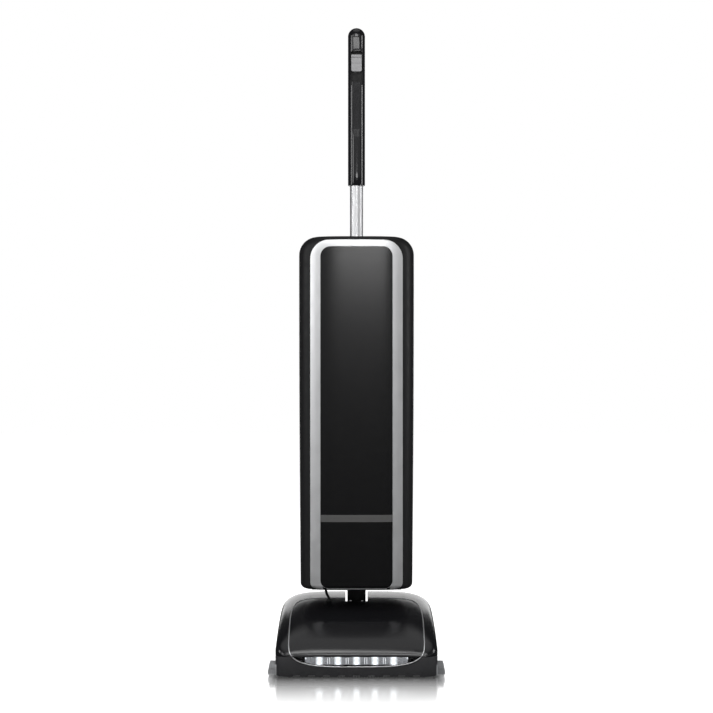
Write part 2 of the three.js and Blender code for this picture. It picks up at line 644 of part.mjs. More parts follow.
// The motor: a can, an end bracket, two bearings, and the shaft with its pulley and armature.
function makeMotor() {
  const { y, z, radius, left, right, shaft, pulley, bearing } = MOTOR;
  const { thickness, boss, depth } = BRACKET;
  const can = cut(
    rodX(radius, [left + thickness, right], y, z),
    rodX(radius - THIN_WALL, [left, right - THIN_WALL], y, z),
    rodX(bearing, about(right, PAST), y, z, SMALL_ROUND),
  );
  piece("motor_can", can, STEEL);

  const bracket = cut(
    join(
      rodX(radius, [left, left + thickness - GAP], y, z),
      rodX(boss, [left - thickness, left + depth], y, z, SMALL_ROUND),
    ),
    rodX(bearing, about(left, 2 * thickness), y, z, SMALL_ROUND),
  );
  piece("motor_end_bracket", bracket, ALUMINIUM);

  const hole = rodX(bore(shaft, SMALL_ROUND), EVERY_X, y, z, SMALL_ROUND);
  const ring = (x) => cut(rodX(bearing - GAP, x, y, z, SMALL_ROUND), hole);
  piece("bearing_belt_end", ring([left - PAST, left + depth]), CHROME);
  piece("bearing_fan_end", ring([right - thickness, right + INTO]), CHROME);

  const spindle = join(
    rodX(shaft, [SPINDLE.left, SPINDLE.right], y, z, SMALL_ROUND),
    rodX(pulley, about(BELT.x, BELT.width / 2 + THIN_WALL), y, z, SMALL_ROUND),
  );
  piece("motor_shaft", spindle, STEEL);

  const core = join(
    rodX(ARMATURE.radius, ARMATURE.core, y, z, ROUND),
    rodX(ARMATURE.commutator, ARMATURE.commutatorX, y, z, SMALL_ROUND),
  );
  piece("armature", cut(core, rodX(shaft + GAP, EVERY_X, y, z, SMALL_ROUND)), COPPER);
}

// The fan: a scroll with an eye on the intake side and a throat at the rear, and the impeller in it.
function makeFan() {
  const { left, right, housing, eye, throatX, throatZ } = FAN;
  const { y, z, shaft } = MOTOR;
  const scroll = cut(
    rodX(housing, [left, right], y, z),
    rodX(housing - THIN_WALL, shrunk([left, right], THIN_WALL), y, z),
    rodX(eye, about(right, PAST), y, z, FINE_ROUND),
    rodX(shaft + THIN_WALL, about(left, PAST), y, z, SMALL_ROUND),
    box(throatX, [y, y + housing + PAST], throatZ),
  );
  piece("fan_housing", scroll, SATIN_BLACK);

  const { thickness } = IMPELLER;
  const { count, from, to } = VANES;
  const disc = IMPELLER.left + thickness;
  const parts = [
    rodX(IMPELLER.disc, [IMPELLER.left, disc], y, z, IMPELLER.sides),
    rodX(IMPELLER.hub, [IMPELLER.left, IMPELLER.right], y, z, SMALL_ROUND),
  ];
  const width = IMPELLER.right - disc;
  for (let i = 0; i < count; i += 1) {
    const vane = new THREE.BoxGeometry(width, to - from, thickness);
    vane.translate(disc + width / 2, (from + to) / 2, 0).rotateX((2 * Math.PI * i) / count);
    parts.push(solid(vane.translate(0, y, z)));
  }
  const wheel = cut(join(...parts), rodX(shaft + GAP, EVERY_X, y, z, SMALL_ROUND));
  piece("fan_impeller", wheel, GREY_PLASTIC);
}

// The intake duct runs from the brush chamber to the fan's eye, the outlet duct from its throat to
// the neck's hollow trunnion.
function makeDucts() {
  const hollow = ({ x, y, z }) =>
    box(shrunk(x, THIN_WALL), shrunk(y, THIN_WALL), shrunk(z, THIN_WALL));
  const mouth = box(INTAKE.mouthX, about(INTAKE.y[0], PAST), INTAKE.mouthZ);
  const eye = rodX(FAN.eye, about(FAN.right, PAST), MOTOR.y, MOTOR.z, FINE_ROUND);
  const intake = cut(box(INTAKE.x, INTAKE.y, INTAKE.z), hollow(INTAKE), mouth, eye);
  piece("intake_duct", intake, SATIN_BLACK);

  const throat = box(FAN.throatX, about(OUTLET.y[0], PAST), OUTLET.throatZ);
  const port = rodX(PIVOT.trunnion + INTO, about(OUTLET.x[0], PAST), PIVOT.y, PIVOT.z);
  const outlet = cut(box(OUTLET.x, OUTLET.y, OUTLET.z), hollow(OUTLET), throat, port);
  piece("outlet_duct", outlet, SATIN_BLACK);
}

// The leaf spring under the neck that holds the handle upright.
function makeDetentSpring() {
  const { halfWidth, thickness } = DETENT;
  const tip = PIVOT.y + DETENT.tip;
  const crest = PIVOT.y + DETENT.crest;
  const knee = PIVOT.y + DETENT.knee;
  const [near, far] = DETENT.foot.map((y) => PIVOT.y + y);
  const top = PIVOT.z - PIVOT.barrel - INTO;
  const foot = FRAME.deck + GAP;
  const leaf = outline([
    [near, foot],
    [far, foot],
    [far, foot + thickness],
    [knee, foot + thickness],
    [knee, top - DETENT_DROP.knee],
    [crest, top],
    [tip, top - DETENT_DROP.tip],
    [tip, top - DETENT_DROP.tip - thickness],
    [crest, top - thickness],
    [knee - thickness, top - DETENT_DROP.knee - thickness],
    [knee - thickness, foot + thickness],
    [near, foot + thickness],
  ]);
  piece("detent_spring", prismX(leaf, both(halfWidth)), STEEL);
}

// ---------------------------------------------------------------- wheels and rollers
function makeWheel(name, side) {
  const { radius, width, axle, chamfer, rim, hub, dish } = WHEEL;
  const half = width / 2;
  const hole = axle + RUNNING;
  const profile = [
    [hole, -half],
    [radius - chamfer, -half],
    [radius, chamfer - half],
    [radius, half - chamfer],
    [radius - chamfer, half],
    [hole, half],
    [hole, -half],
  ];
  const tread = turned(profile, ROUND).rotateZ(Math.PI / 2).translate(side * WHEEL.x, WHEEL.y, WHEEL.z);
  const outer = mirrored(side, [WHEEL.x + half - dish, WHEEL.x + half + PAST]);
  const dished = cut(
    rodX(rim, outer, WHEEL.y, WHEEL.z, FINE_ROUND),
    rodX(hub, EVERY_X, WHEEL.y, WHEEL.z, SMALL_ROUND),
  );
  piece(`rear_wheel_${name}`, cut(solid(tread), dished), RUBBER);
}

function makeRoller(name, side) {
  const middle = side * ROLLER.x;
  const half = ROLLER.width / 2;
  const roller = join(
    rodX(ROLLER.radius, about(middle, half), ROLLER.y, ROLLER.radius, FINE_ROUND),
    rodX(ROLLER.pin, about(middle, half + ROLLER.pinEnd), ROLLER.y, ROLLER.radius, SMALL_ROUND),
  );
  piece(`front_roller_${name}`, roller, GREY_PLASTIC);
}

function makeRollingPieces() {
  const reach = BASE.halfWidth - FRAME.inset + INTO;
  piece("rear_axle", rodX(WHEEL.axle, both(reach), WHEEL.y, WHEEL.z, SMALL_ROUND), STEEL);
  for (const [name, side] of SIDES) {
    makeWheel(name, side);
    makeRoller(name, side);
  }
}

// ---------------------------------------------------------------- tilting neck
// The neck: a barrel on hollow trunnions, a square duct up through its post, and a flange on the tray.
function makeNeck() {
  const { halfWidth, halfDepth, corner, airway, ductX, ductY } = NECK;
  const [front, rear] = about(PIVOT.y, halfDepth);
  const top = HOUSING.bottom + HOUSING.tray + GAP;
  const flangeY = [front - FLANGE.front, rear + FLANGE.rear];
  const screwHole = ([, side]) =>
    rodY(
      NECK_SCREW.shank + GAP,
      [front - PAST, front + NECK_SCREW.length + 2 * GAP],
      side * NECK_SCREW.x,
      NECK_SCREW.z,
      SMALL_ROUND,
    );
  const body = join(
    rodX(PIVOT.barrel, both(halfWidth), PIVOT.y, PIVOT.z),
    prismZ(roundedRect(both(halfWidth), [front, rear], corner), [PIVOT.z, top + INTO], CURVE.coarse),
    rodX(PIVOT.trunnion, both(PIVOT.cheek + PIVOT.cheekThickness), PIVOT.y, PIVOT.z),
    box(both(FLANGE.halfWidth), flangeY, [top, top + FLANGE.thickness]),
  );
  const neck = cut(
    body,
    rodX(airway, [0, 2 * PIVOT.cheek], PIVOT.y, PIVOT.z, FINE_ROUND),
    box(both(ductX), about(PIVOT.y, ductY), [PIVOT.z, HIGH]),
    ...SIDES.map(screwHole),
  );
  piece("neck", neck, SATIN_BLACK);
  for (const [name, side] of SIDES) {
    const { x, z, shank, length, head, headHeight } = NECK_SCREW;
    const screw = join(
      rodY(shank, [front - INTO, front + length], side * x, z, SMALL_ROUND),
      rodY(head, [front - headHeight, front - GAP], side * x, z, SMALL_ROUND),
    );
    piece(`neck_screw_${name}`, screw, STEEL);
  }
}

// ---------------------------------------------------------------- housing shape
// Half of the housing's width at height z: widest near the top, round at both ends.
function housingWidth(z) {
  const share = (z - HOUSING.bottom) / (HOUSING.top - HOUSING.bottom);
  const swell = Math.sin(Math.PI * (SWELL.start + SWELL.run * share));
  return HOUSING.half - SWELL.depth * (1 - swell);
}

// How far the surface draws in at height z to round the two ends.
function endInset(z, radius, inset) {
  const low = z - HOUSING.bottom - inset;
  const high = HOUSING.top - inset - z;
  const rounding = (distance, r) =>
    distance < r ? r - Math.sqrt(r ** 2 - (r - Math.max(0, distance)) ** 2) : 0;
  return rounding(high, radius.top) + rounding(low, radius.bottom);
}

function housingBody(inset) {
  const height = HOUSING.top - HOUSING.bottom;
  const heights = HOUSING_RINGS.map((h) => HOUSING.bottom + inset + (h / height) * (height - 2 * inset));
  const rings = heights.length + 2;
  return loft(rings, HOUSING_AROUND, (i, k) => {
    const z = heights[Math.min(Math.max(k - 1, 0), heights.length - 1)];
    if (k === 0 || k === rings - 1) return [0, HOUSING.seam, z];
    const turn = (2 * Math.PI * i) / HOUSING_AROUND;
    const c = Math.cos(turn);
    const s = Math.sin(turn);
    const power = s > 0 ? FACE_POWER.back : FACE_POWER.front;
    const depth = (s > 0 ? HOUSING.back : HOUSING.front) - inset - endInset(z, DEPTH_ROUND, inset);
    const width = housingWidth(z) - inset - endInset(z, WIDTH_ROUND, inset);
    const x = width * Math.sign(c) * Math.abs(c) ** (2 / power);
    return [x, HOUSING.seam + depth * Math.sign(s) * Math.abs(s) ** (2 / power), z];
  });
}

// The part of a body that lies less than a depth below the housing's face, or outside it.
const faceLayer = (body, depth) => cut(body, housingBody(depth));

// The silver band's outer or inner edge, grown by a little and run through the housing's front.
function bandEdge({ half, low, high, topRadius, bottomRadius }, grow) {
  const edge = roundedRect(both(half + grow), [low - grow, high + grow], bottomRadius, topRadius);
  return prismY(edge, [-EVERYWHERE, 0], CURVE.medium);
}

// ---------------------------------------------------------------- housing pieces
function earX(side, reach) {
  return about(side * EAR.x, reach);
}

// A bore along the door's hinge line.
const hingeRod = (radius, reach, sides) => rodX(radius, both(reach), HINGE.y, HINGE.z, sides);

function hingeEars() {
  return SIDES.map(([, side]) => {
    const x = earX(side, EAR.width / 2);
    return join(
      rodX(EAR.radius, x, HINGE.y, HINGE.z, EAR_ROUND),
      box(x, [HINGE.y, HINGE.y + EAR.back], [HINGE.z - EAR.low, HINGE.z + EAR.high]),
    );
  });
}

function ventSlots() {
  const slots = [];
  for (const [, side] of SIDES) {
    for (let i = 0; i < VENT.slots; i += 1) {
      const z = VENT.bottom + i * VENT.pitch;
      const x = mirrored(side, [VENT.inner, VENT.outer]);
      slots.push(box(x, [REAR - VENT.depth, REAR + PAST], [z, z + VENT.height]));
    }
  }
  return slots;
}

// The tube's socket inside the rear shell, tied to its wall.
function tubeSocket() {
  return join(
    rodZ(TUBE.radius + SOCKET.wall, [SOCKET.bottom, HOUSING.top - INTO], 0, TUBE.y, EAR_ROUND),
    box(both(SOCKET.webHalfWidth), [TUBE.y, REAR - INTO], [SOCKET.bottom, SOCKET.webTop]),
  );
}

// The rear shell with the tray that closes the bottom, the hinge ears, the tube's socket and the vents.
function makeHousingBack(outer, inner) {
  const seam = HOUSING.seam + GAP / 2;
  const trayTop = HOUSING.bottom + HOUSING.tray;
  const shell = cut(outer, inner, box(EVERY_X, [-EVERYWHERE, seam], [0, HIGH]));
  const tray = cut(
    outer,
    box(EVERY_X, EVERY_X, [trayTop, HIGH]),
    hingeRod(HINGE.radius + GAP, EVERYWHERE),
    box(EVERY_X, [-EVERYWHERE, HINGE.y], [0, HIGH]),
  );
  const neckHole = roundedRect(
    both(NECK.halfWidth + GAP),
    about(PIVOT.y, NECK.halfDepth + GAP),
    NECK.corner,
  );
  const { x, y, play } = CABLE.tray;
  const latchRoom = box(both(LATCH.half + GAP), [seam - PAST, seam + LATCH.depth], [LATCH.pocket, HIGH]);
  const boltHoles = TUBE_BOLT.heights.flatMap((z) => [
    rodY(TUBE_BOLT.shank + GAP, [TUBE.y, REAR + PAST], 0, z, SMALL_ROUND),
    rodY(TUBE_BOLT.head + GAP, [REAR - TUBE_BOLT.pocket, REAR + PAST], 0, z, SMALL_ROUND),
  ]);
  const body = cut(
    join(shell, tray, tubeSocket(), ...hingeEars()),
    rodZ(TUBE.radius + GAP, [TUBE.bottom, HIGH], 0, TUBE.y),
    prismZ(neckHole, [0, trayTop + PAST], CURVE.coarse),
    rodZ(CABLE.radius + play, [0, trayTop + PAST], x, y, SMALL_ROUND),
    latchRoom,
    ...ventSlots(),
    hingeRod(HINGE.pin + GAP, HINGE.rod - THIN_WALL, SMALL_ROUND),
    ...boltHoles,
  );
  piece("housing_back", body, SATIN_BLACK);
}

// The door turns down on the hinge rod. It carries the silver band, the glossy panel and its stripe.
function makeDoor(outer, inner) {
  const seam = HOUSING.seam - GAP / 2;
  const trayTop = HOUSING.bottom + HOUSING.tray + GAP;
  const underTray = box(EVERY_X, [HINGE.y, EVERYWHERE], [0, trayTop]);
  const sweep = hingeRod(HINGE.radius, EVERYWHERE, FINE_ROUND);
  const corner = cut(box(EVERY_X, [-EVERYWHERE, HINGE.y], [0, HINGE.z]), sweep);
  const earGaps = SIDES.map(([, side]) =>
    box(
      earX(side, EAR.width / 2 + GAP),
      [HINGE.y - EAR.radius - GAP, HINGE.y + 3 * HINGE.radius],
      [0, HINGE.z + HINGE.radius + INTO],
    ),
  );
  const pinBore = hingeRod(HINGE.pin + GAP, HINGE.rod + GAP, SMALL_ROUND);
  const front = cut(outer, inner, box(EVERY_X, [seam, EVERYWHERE], [0, HIGH]), underTray, corner);
  const barrel = cut(hingeRod(HINGE.barrel, HINGE.reach), underTray);
  const recess = faceLayer(bandEdge(BAND_OUTSIDE, GAP), BAND_THICKNESS + GAP);
  piece("door_shell", cut(join(front, barrel), ...earGaps, pinBore, recess), SATIN_BLACK);

  const skin = cut(faceLayer(outer, BAND_THICKNESS), corner, underTray, pinBore, ...earGaps);
  const band = cut(skin.intersect(bandEdge(BAND_OUTSIDE, 0)), bandEdge(BAND_INSIDE, GAP));
  piece("door_band", band, SILVER);

  const stripe = (grow) => box(EVERY_X, [-EVERYWHERE, 0], [STRIPE.low - grow, STRIPE.high + grow]);
  const face = bandEdge(BAND_INSIDE, 0);
  const pocket = faceLayer(stripe(GAP), STRIPE.thickness + 2 * GAP);
  piece("door_panel", cut(skin.intersect(face), pocket), GLOSS_BLACK);
  const inlay = faceLayer(outer, STRIPE.thickness).intersect(face).intersect(stripe(0));
  piece("door_stripe", inlay, STRIPE_GREY);
}

function makeHingeRod() {
  piece("door_hinge_rod", hingeRod(HINGE.pin, HINGE.rod, SMALL_ROUND), STEEL);
}

// The button in the housing's top that lets the door go.
function makeLatch() {
  const rear = HOUSING.seam + LATCH.depth - INTO;
  const button = join(
    box(both(LATCH.half), [HOUSING.seam + 2 * GAP, rear], [LATCH.low, LATCH.high]),
    box(both(LATCH_STEM.half), LATCH_STEM.y, [LATCH_STEM.low, LATCH.low + INTO]),
  );
  piece("door_latch_button", button, GREY_PLASTIC);
}

// ---------------------------------------------------------------- dust path
// The duct that rises from the neck and turns forward into the bag.
function makeFillTube() {
  const { halfWidth, front, rear, foot, top } = FILL_TUBE;
  const duct = join(
    box(both(halfWidth), [front, rear], [foot, top]),
    rodY(PORT.radius, [PORT.front, front + INTO], 0, PORT.z),
  );
  const hollow = join(
    box(both(halfWidth - THIN_WALL), shrunk([front, rear], THIN_WALL), [foot - PAST, top - THIN_WALL]),
    rodY(PORT.radius - THIN_WALL, [PORT.front - PAST, front + THIN_WALL + INTO], 0, PORT.z),
  );
  piece("fill_tube", cut(duct, hollow), SATIN_BLACK);
}

// The paper bag and the card collar that slides over the duct's port.
function makeBag() {
  const collarY = [COLLAR.rear - COLLAR.thickness, COLLAR.rear];
  const plate = box(both(COLLAR.halfWidth), collarY, [COLLAR.low, COLLAR.high]);
  piece("bag_collar", cut(plate, rodY(PORT.radius + GAP, [0, EVERYWHERE], 0, PORT.z)), PAPER);

  const { halfWidth, front, rear, bottom, top, corner, foot, lean } = BAG;
  const high = halfWidth - lean;
  const side = new THREE.Shape();
  side.moveTo(-halfWidth + foot, bottom);
  side.lineTo(halfWidth - foot, bottom);
  side.quadraticCurveTo(halfWidth, bottom, halfWidth, bottom + corner);
  side.lineTo(high, top - corner);
  side.quadraticCurveTo(high, top, high - corner, top);
  side.lineTo(corner - high, top);
  side.quadraticCurveTo(-high, top, -high, top - corner);
  side.lineTo(-halfWidth, bottom + corner);
  side.quadraticCurveTo(-halfWidth, bottom, -halfWidth + foot, bottom);
  const mouth = rodY(PORT.radius + MOUTH.play, [MOUTH.front, EVERYWHERE], 0, PORT.z);
  piece("dust_bag", cut(prismY(side, [front, rear], CURVE.bar), mouth), PAPER);
}

// The pads behind the vents.
function makeFilters() {
  const rear = REAR - WALL - FILTER.clear;
  for (const [name, side] of SIDES) {
    const x = mirrored(side, [FILTER.inner, FILTER.outer]);
    const pad = box(x, [rear - FILTER.thickness, rear], [FILTER.low, FILTER.high]);
    piece(`exhaust_filter_${name}`, pad, WHITE_PAD);
  }
}

// ---------------------------------------------------------------- handle
// The bright tube between housing and grip, and the two bolts that hold it in its socket.
function makeHandleTube() {
  const { y, radius, wall, bottom, top } = TUBE;
  const { heights, shank, head, pocket, inside } = TUBE_BOLT;
  const tube = cut(
    rodZ(radius, [bottom + GAP, top], 0, y),
    rodZ(radius - wall, [bottom - PAST, top + PAST], 0, y),
    ...heights.map((z) => rodY(shank + GAP, [y, y + 2 * radius], 0, z, SMALL_ROUND)),
  );
  piece("handle_tube", tube, ALUMINIUM);
  heights.forEach((z, index) => {
    const floor = REAR - pocket;
    const bolt = join(
      rodY(shank, [y + radius - wall - inside, floor + INTO], 0, z, SMALL_ROUND),
      rodY(head, [floor + GAP, REAR - GAP], 0, z, SMALL_ROUND),
    );
    piece(`tube_bolt_${index + 1}`, bolt, STEEL);
  });
}

// A round-ended dome at the handle's top.
function handleDome(radius) {
  const ball = new THREE.SphereGeometry(radius, GRIP.around, GRIP.rings);
  return solid(ball.rotateX(Math.PI / 2).translate(0, TUBE.y, GRIP.top - GRIP.radius));
}

// The upright limb of the handle, hollow for the tube below and for the switch above.
function makeSpine() {
  const { radius, bottom, top, socket } = GRIP;
  const { y } = TUBE;
  const face = y - radius;
  const well = prismY(
    roundedRect(both(WELL.halfWidth), [WELL.low, WELL.high], WELL.corner),
    [face - PAST, WELL.floor],
    CURVE.coarse,
  );
  const { half, front, rear, low, high } = SWITCH_ROOM;
  const room = box(both(half), [front, rear], [low, high]);
  const spine = cut(
    join(rodZ(radius, [bottom, top - radius], 0, y), handleDome(radius)),
    rodZ(TUBE.radius + GAP, [bottom - PAST, socket], 0, y),
    well,
    box(both(SLOT.half), [face, SLOT.rear], [SLOT.low, SLOT.high]),
    room,
    rodY(INLET.bore, [y + TUBE.radius - INTO, y + 2 * radius], 0, INLET.z, SMALL_ROUND),
  );
  piece("handle_spine", spine, GLOSS_BLACK);
}

// The curved grip behind the limb, from its top down to its lower half.
function makeLoop() {
  const { radius, bottom, top } = GRIP;
  const route = LOOP.route.map(([behind, below]) => [0, TUBE.y + behind, top - below]);
  const arc = cut(
    bar(route, LOOP.radius, LOOP.steps),
    rodZ(radius + GAP, [bottom, top - radius], 0, TUBE.y),
    handleDome(radius + GAP),
  );
  piece("handle_loop", arc, SATIN_BLACK);
}

// The slider in its well and the switch body that it works.
function makeSwitch() {
  const { half, front, rear, low, high, groove, grooveRear } = SWITCH_BODY;
  const body = cut(
    box(both(half), [front, rear], [low, high]),
    box(both(groove), [0, grooveRear], [WELL.low, WELL.high]),
  );
  piece("switch_body", body, GREY_PLASTIC);

  const cap = roundedRect(both(KNOB.half), [KNOB.low, KNOB.high], KNOB.corner);
  const knob = join(
    prismY(cap, [KNOB.front, WELL.floor - GAP], CURVE.coarse),
    box(both(KNOB_STEM.half), [WELL.floor - INTO, KNOB_STEM.rear], [KNOB_STEM.low, KNOB_STEM.high]),
  );
  piece("speed_slider", knob, GREY_PLASTIC);
}

// The strain relief where the mains cord would enter the handle.
function makeCordInlet() {
  const { z, radius, throat, flange, taper, length } = INLET;
  const profile = [
    [throat, 0],
    [radius, 0],
    [radius, flange],
    [radius - taper, length],
    [throat, length],
    [throat, 0],
  ];
  const face = TUBE.y + GRIP.radius + GAP;
  piece("cord_inlet", solid(turned(profile, SMALL_ROUND).translate(0, face, z)), RUBBER);
}

// ---------------------------------------------------------------- cord hooks
// A hook on the rear of the housing: a stand-off and an arm along its end, up or down.
function makeHook(name, z, direction) {
  const { arm, width, thickness, stand } = HOOK;
  const half = width / 2;
  const face = REAR + GAP;
  const end = face + stand;
  const reach = [z - (direction > 0 ? half : arm), z + (direction > 0 ? arm : half)];
  const hook = join(rodY(half, [face, end], 0, z, ROUND), box(both(half), [end - thickness, end], reach));
  piece(name, hook, SATIN_BLACK);
}

// ---------------------------------------------------------------- jumper cable
// The short cable from the base to the upright, with a rubber grommet where it leaves the hood.
function makeCable() {
  piece("jumper_cable", bar(CABLE.route, CABLE.radius, CABLE.steps), RUBBER);
  const { x, y } = CABLE.hood;
  const { outer, inner, low, high } = GROMMET;
  piece("cable_grommet", cut(rodZ(outer, [low, high], x, y), rodZ(inner, [0, HIGH], x, y)), RUBBER);
}

// ---------------------------------------------------------------- assembly
makeHood();
makeTrim();
makeBumper();
makeFrame();
makeSolePlate();
makeNozzleCover();
makeEdgeBrushes();
makeLight();
makeBrushRoll();
makeBelt();
makeMotor();
makeFan();
makeDucts();
makeDetentSpring();
makeRollingPieces();
makeNeck();
const housingOuter = housingBody(0);
const housingInner = housingBody(WALL);
makeHousingBack(housingOuter, housingInner);
makeDoor(housingOuter, housingInner);
makeHingeRod();
makeLatch();
makeFillTube();
makeBag();
makeFilters();
makeHandleTube();
makeSpine();
makeLoop();
makeSwitch();
makeCordInlet();
makeHook("cord_hook_upper", HOOK.upper, 1);
makeHook("cord_hook_lower", HOOK.lower, -1);
makeCable();

export default vacuum;
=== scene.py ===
"""The look of an upright vacuum cleaner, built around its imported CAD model.
Shapes are written in millimetres, in the CAD model's own frame, and scaled as their meshes are made."""

import json
from math import acos, copysign, cos, dist, pi, radians, sin, sqrt
from types import SimpleNamespace as Sizes

import bmesh
import bpy
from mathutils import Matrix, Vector, noise

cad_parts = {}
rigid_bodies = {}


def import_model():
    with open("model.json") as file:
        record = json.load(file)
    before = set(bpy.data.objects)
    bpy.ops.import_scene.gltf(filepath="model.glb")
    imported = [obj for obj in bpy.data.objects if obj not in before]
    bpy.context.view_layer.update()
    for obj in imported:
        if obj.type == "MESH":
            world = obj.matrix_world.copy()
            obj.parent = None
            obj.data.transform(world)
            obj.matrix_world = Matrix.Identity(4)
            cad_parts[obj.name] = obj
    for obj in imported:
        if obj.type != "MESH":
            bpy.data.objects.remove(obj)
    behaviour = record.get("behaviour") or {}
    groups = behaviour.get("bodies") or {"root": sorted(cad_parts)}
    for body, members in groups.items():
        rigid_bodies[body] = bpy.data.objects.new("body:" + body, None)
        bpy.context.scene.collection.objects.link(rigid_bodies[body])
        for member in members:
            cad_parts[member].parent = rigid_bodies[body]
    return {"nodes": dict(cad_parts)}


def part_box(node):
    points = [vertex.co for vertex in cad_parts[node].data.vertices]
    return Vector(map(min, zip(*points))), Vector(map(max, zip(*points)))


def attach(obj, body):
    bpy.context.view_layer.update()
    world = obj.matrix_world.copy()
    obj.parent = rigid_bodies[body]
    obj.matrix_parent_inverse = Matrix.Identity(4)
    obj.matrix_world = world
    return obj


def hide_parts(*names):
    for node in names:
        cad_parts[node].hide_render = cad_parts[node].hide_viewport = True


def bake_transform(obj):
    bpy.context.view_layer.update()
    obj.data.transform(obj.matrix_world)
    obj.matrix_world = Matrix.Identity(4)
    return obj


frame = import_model()
noise.seed_set(1)
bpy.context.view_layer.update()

MM = 0.001
GAP = 0.3  # between pieces that don't touch
FAR = 400  # past the object's sides, for cutters
TALL = 2000  # past its top
ACROSS = (-FAR, FAR)
UPWARD = (0, TALL)
WALL = 3
SHARP_EDGE = 35

CAMERA = Sizes(place=(0, -3.068, 0.589), lens=80.9, sensor=36)

# Base
BASE = Sizes(half_width=149.5, half_depth=138, corner=26)
HOOD = Sizes(bottom=39.4, height=88, crown_y=77, shoulder=4.7, rise=1.7, fall=0.62, back=2.5)
HOOD_STEPS = Sizes(front=80, rear=60, side=44, notch=8)
NOTCH = Sizes(half_width=22, front=8)
TRIM = Sizes(half_width=125, middle=71.5, up=51, down=50.5, up_power=5.8, down_power=3.6, radius=1, steps=420)
BUMPER = Sizes(low=3, high=39, thickness=5, rear=66, slots=9, slot_width=13, slot_top=6.2)
LIGHT = Sizes(cups=5, pitch=34, cup_radius=6.4, cup_curve=0.86, floor=2, longer=10)
LED = Sizes(radius=2.2, rise=1.6, behind=3.2)
RIB = Sizes(apart=2, half=0.6, short=1.2, height=0.2)
LENS_SCREW = Sizes(radius=1.5, inward=9, below=2.4, length=2)
CABLE = Sizes(radius=2.5, tray=(-60, 34), hood=(-53, 12, 121))
ROLL = Sizes(y=-86, z=30, core=16, bristle=28)
ROLL_TUFTS = Sizes(count=46, strands=14, twist=1.1, spread=1.6, width=0.25)
EDGE_TUFTS = Sizes(count=17, levels=4, strands=7, spread=1.1, width=0.28, margin=1.5)
EDGE_TIERS = Sizes(split=12.5, apart=0.5, shorter=2)
WHEEL = Sizes(bore=4.2, hub=9, dish=4, grooves=(0.28, 0.5, 0.72), groove=0.9)
ROLLER = Sizes(pin=2, pin_length=4, edge=1.5)

# Upright
HOUSING = Sizes(bottom=147, top=817, half=110, seam=12, front=57, back=73)
HOUSING_STEPS = Sizes(around=160, end=12, between=30)
SWELL = Sizes(width=3.2, start=0.02, reach=0.58)
TRAY_TOP = HOUSING.bottom + 5.5
FRONT_POWER = 3.5
REAR_POWER = 4
WIDTH_ROUND = Sizes(top=34, bottom=10)
DEPTH_ROUND = Sizes(top=12, bottom=8.4)
HINGE = Sizes(y=-36.5, z=155.5, radius=8.4, pin=2.1, rod=66, barrel=84)
HINGE_LINE = (HINGE.y, HINGE.z)
EAR = Sizes(x=60, half=3, radius=5.2, low=5.1, high=2.5)
BAND = Sizes(thickness=1.6, outer=87.5, low=148.6, high=810, top_radius=36, bottom_radius=14)
PANEL = Sizes(outer=68, low=151.6, high=797, top_radius=19, bottom_radius=15)
STRIPE = Sizes(low=276.5, high=290, thickness=0.5)
SOCKET = Sizes(half=18.1, y=62, depth=15.3, corner=4)
TUBE = Sizes(y=52, radius=12.7, wall=1.5, bottom=640, socket_top=988)
TUBE_BOSS = Sizes(wall=4, below=6, web=8, web_short=14)
LATCH = Sizes(half=17, depth=15, height=16)
VENT = Sizes(slots=6, bottom=238, pitch=21, height=9, inner=34, outer=84, corner=2.5)
BOLT = Sizes(hole=2.8, head_hole=5.3, head=2.6, shank=2.5, hexagon=2.2, depth=1.6)
SCREW = Sizes(shank=1.8, head=1.7, slot=(1.6, 0.35), depth=0.9)
GRIP = Sizes(radius=16.5, bottom=921, top=1228)
# outlines of two cuts: depth behind the grip's front, and height
GRIP_FLAT = [(-3, 1012), (0, 1012), (2, 1030), (2, 1184), (-3, 1190)]
GRIP_BROW = [(-3, 1182), (0.7, 1182), (1.2, 1208), (-3, 1212)]
SWITCH = Sizes(low=1121, high=1181, half_width=11.4, floor=10, rim=3)
LOOP_RADIUS = 13
# the loop's line: how far behind the tube's middle, and how far above the grip's top
LOOP = [(4, -18), (26, -15), (50, -30), (62, -66), (58, -112), (40, -160), (18, -196), (2, -214)]
SLIDER = Sizes(plate=0.9, stem=8.6, lip=(4.5, 3), stem_half=2, grooves=(6, 17), groove=0.9)
INLET = Sizes(bore=3.5, ridges=6, pitch=2.8, ridge=1)
HOOK = Sizes(thickness=6, dish=32, dish_y=30.5, dish_off=4)
BAG = Sizes(rows=90, around=96, power=3, flat=0.94, waist=0.93)
FILTER = Sizes(pleats=14, steps=6, depth=0.9)

# Studio: lights in metres, as place, target, (width, height), brightness, mirrored, lighting matt surfaces
LIGHTS = {
    "ceiling": ((0, -0.9, 2.6), (0, -0.15, 0.4), (2.4, 1.6), 2.5, False, True),
    "front_top": ((-0.2, -1.6, 2.15), (0, 0, 0.8), (0.5, 0.5), 4, True, True),
    "brow_card": ((0, -1.6, 1.7), (0, 0, 1.2), (1.3, 0.34), 6, True, False),
    "face_card": ((0.12, -1.6, 0.975), (0.03, 0, 0.8), (0.62, 0.2), 8, True, True),
    "rear_card": ((0, 1.2, 0.4), (0, 0, 0.3), (1.2, 0.7), 1.5, True, False),
    "left_key": ((-1.5, -1.35, 1.25), (0, 0, 0.8), (0.5, 1.3), 3.8, True, True),
    "left_strip": ((-1.9, -0.5, 1.1), (0, 0, 0.9), (0.3, 1.2), 7, True, True),
    "right_strip": ((2.2, -0.3, 1.1), (0, 0, 0.7), (0.3, 1.4), 11, True, True),
}
FLOOR = Sizes(half=9000, glow=0.85, mirror=0.95, roughness=0.16, fades_within=0.34, side_fade=6)


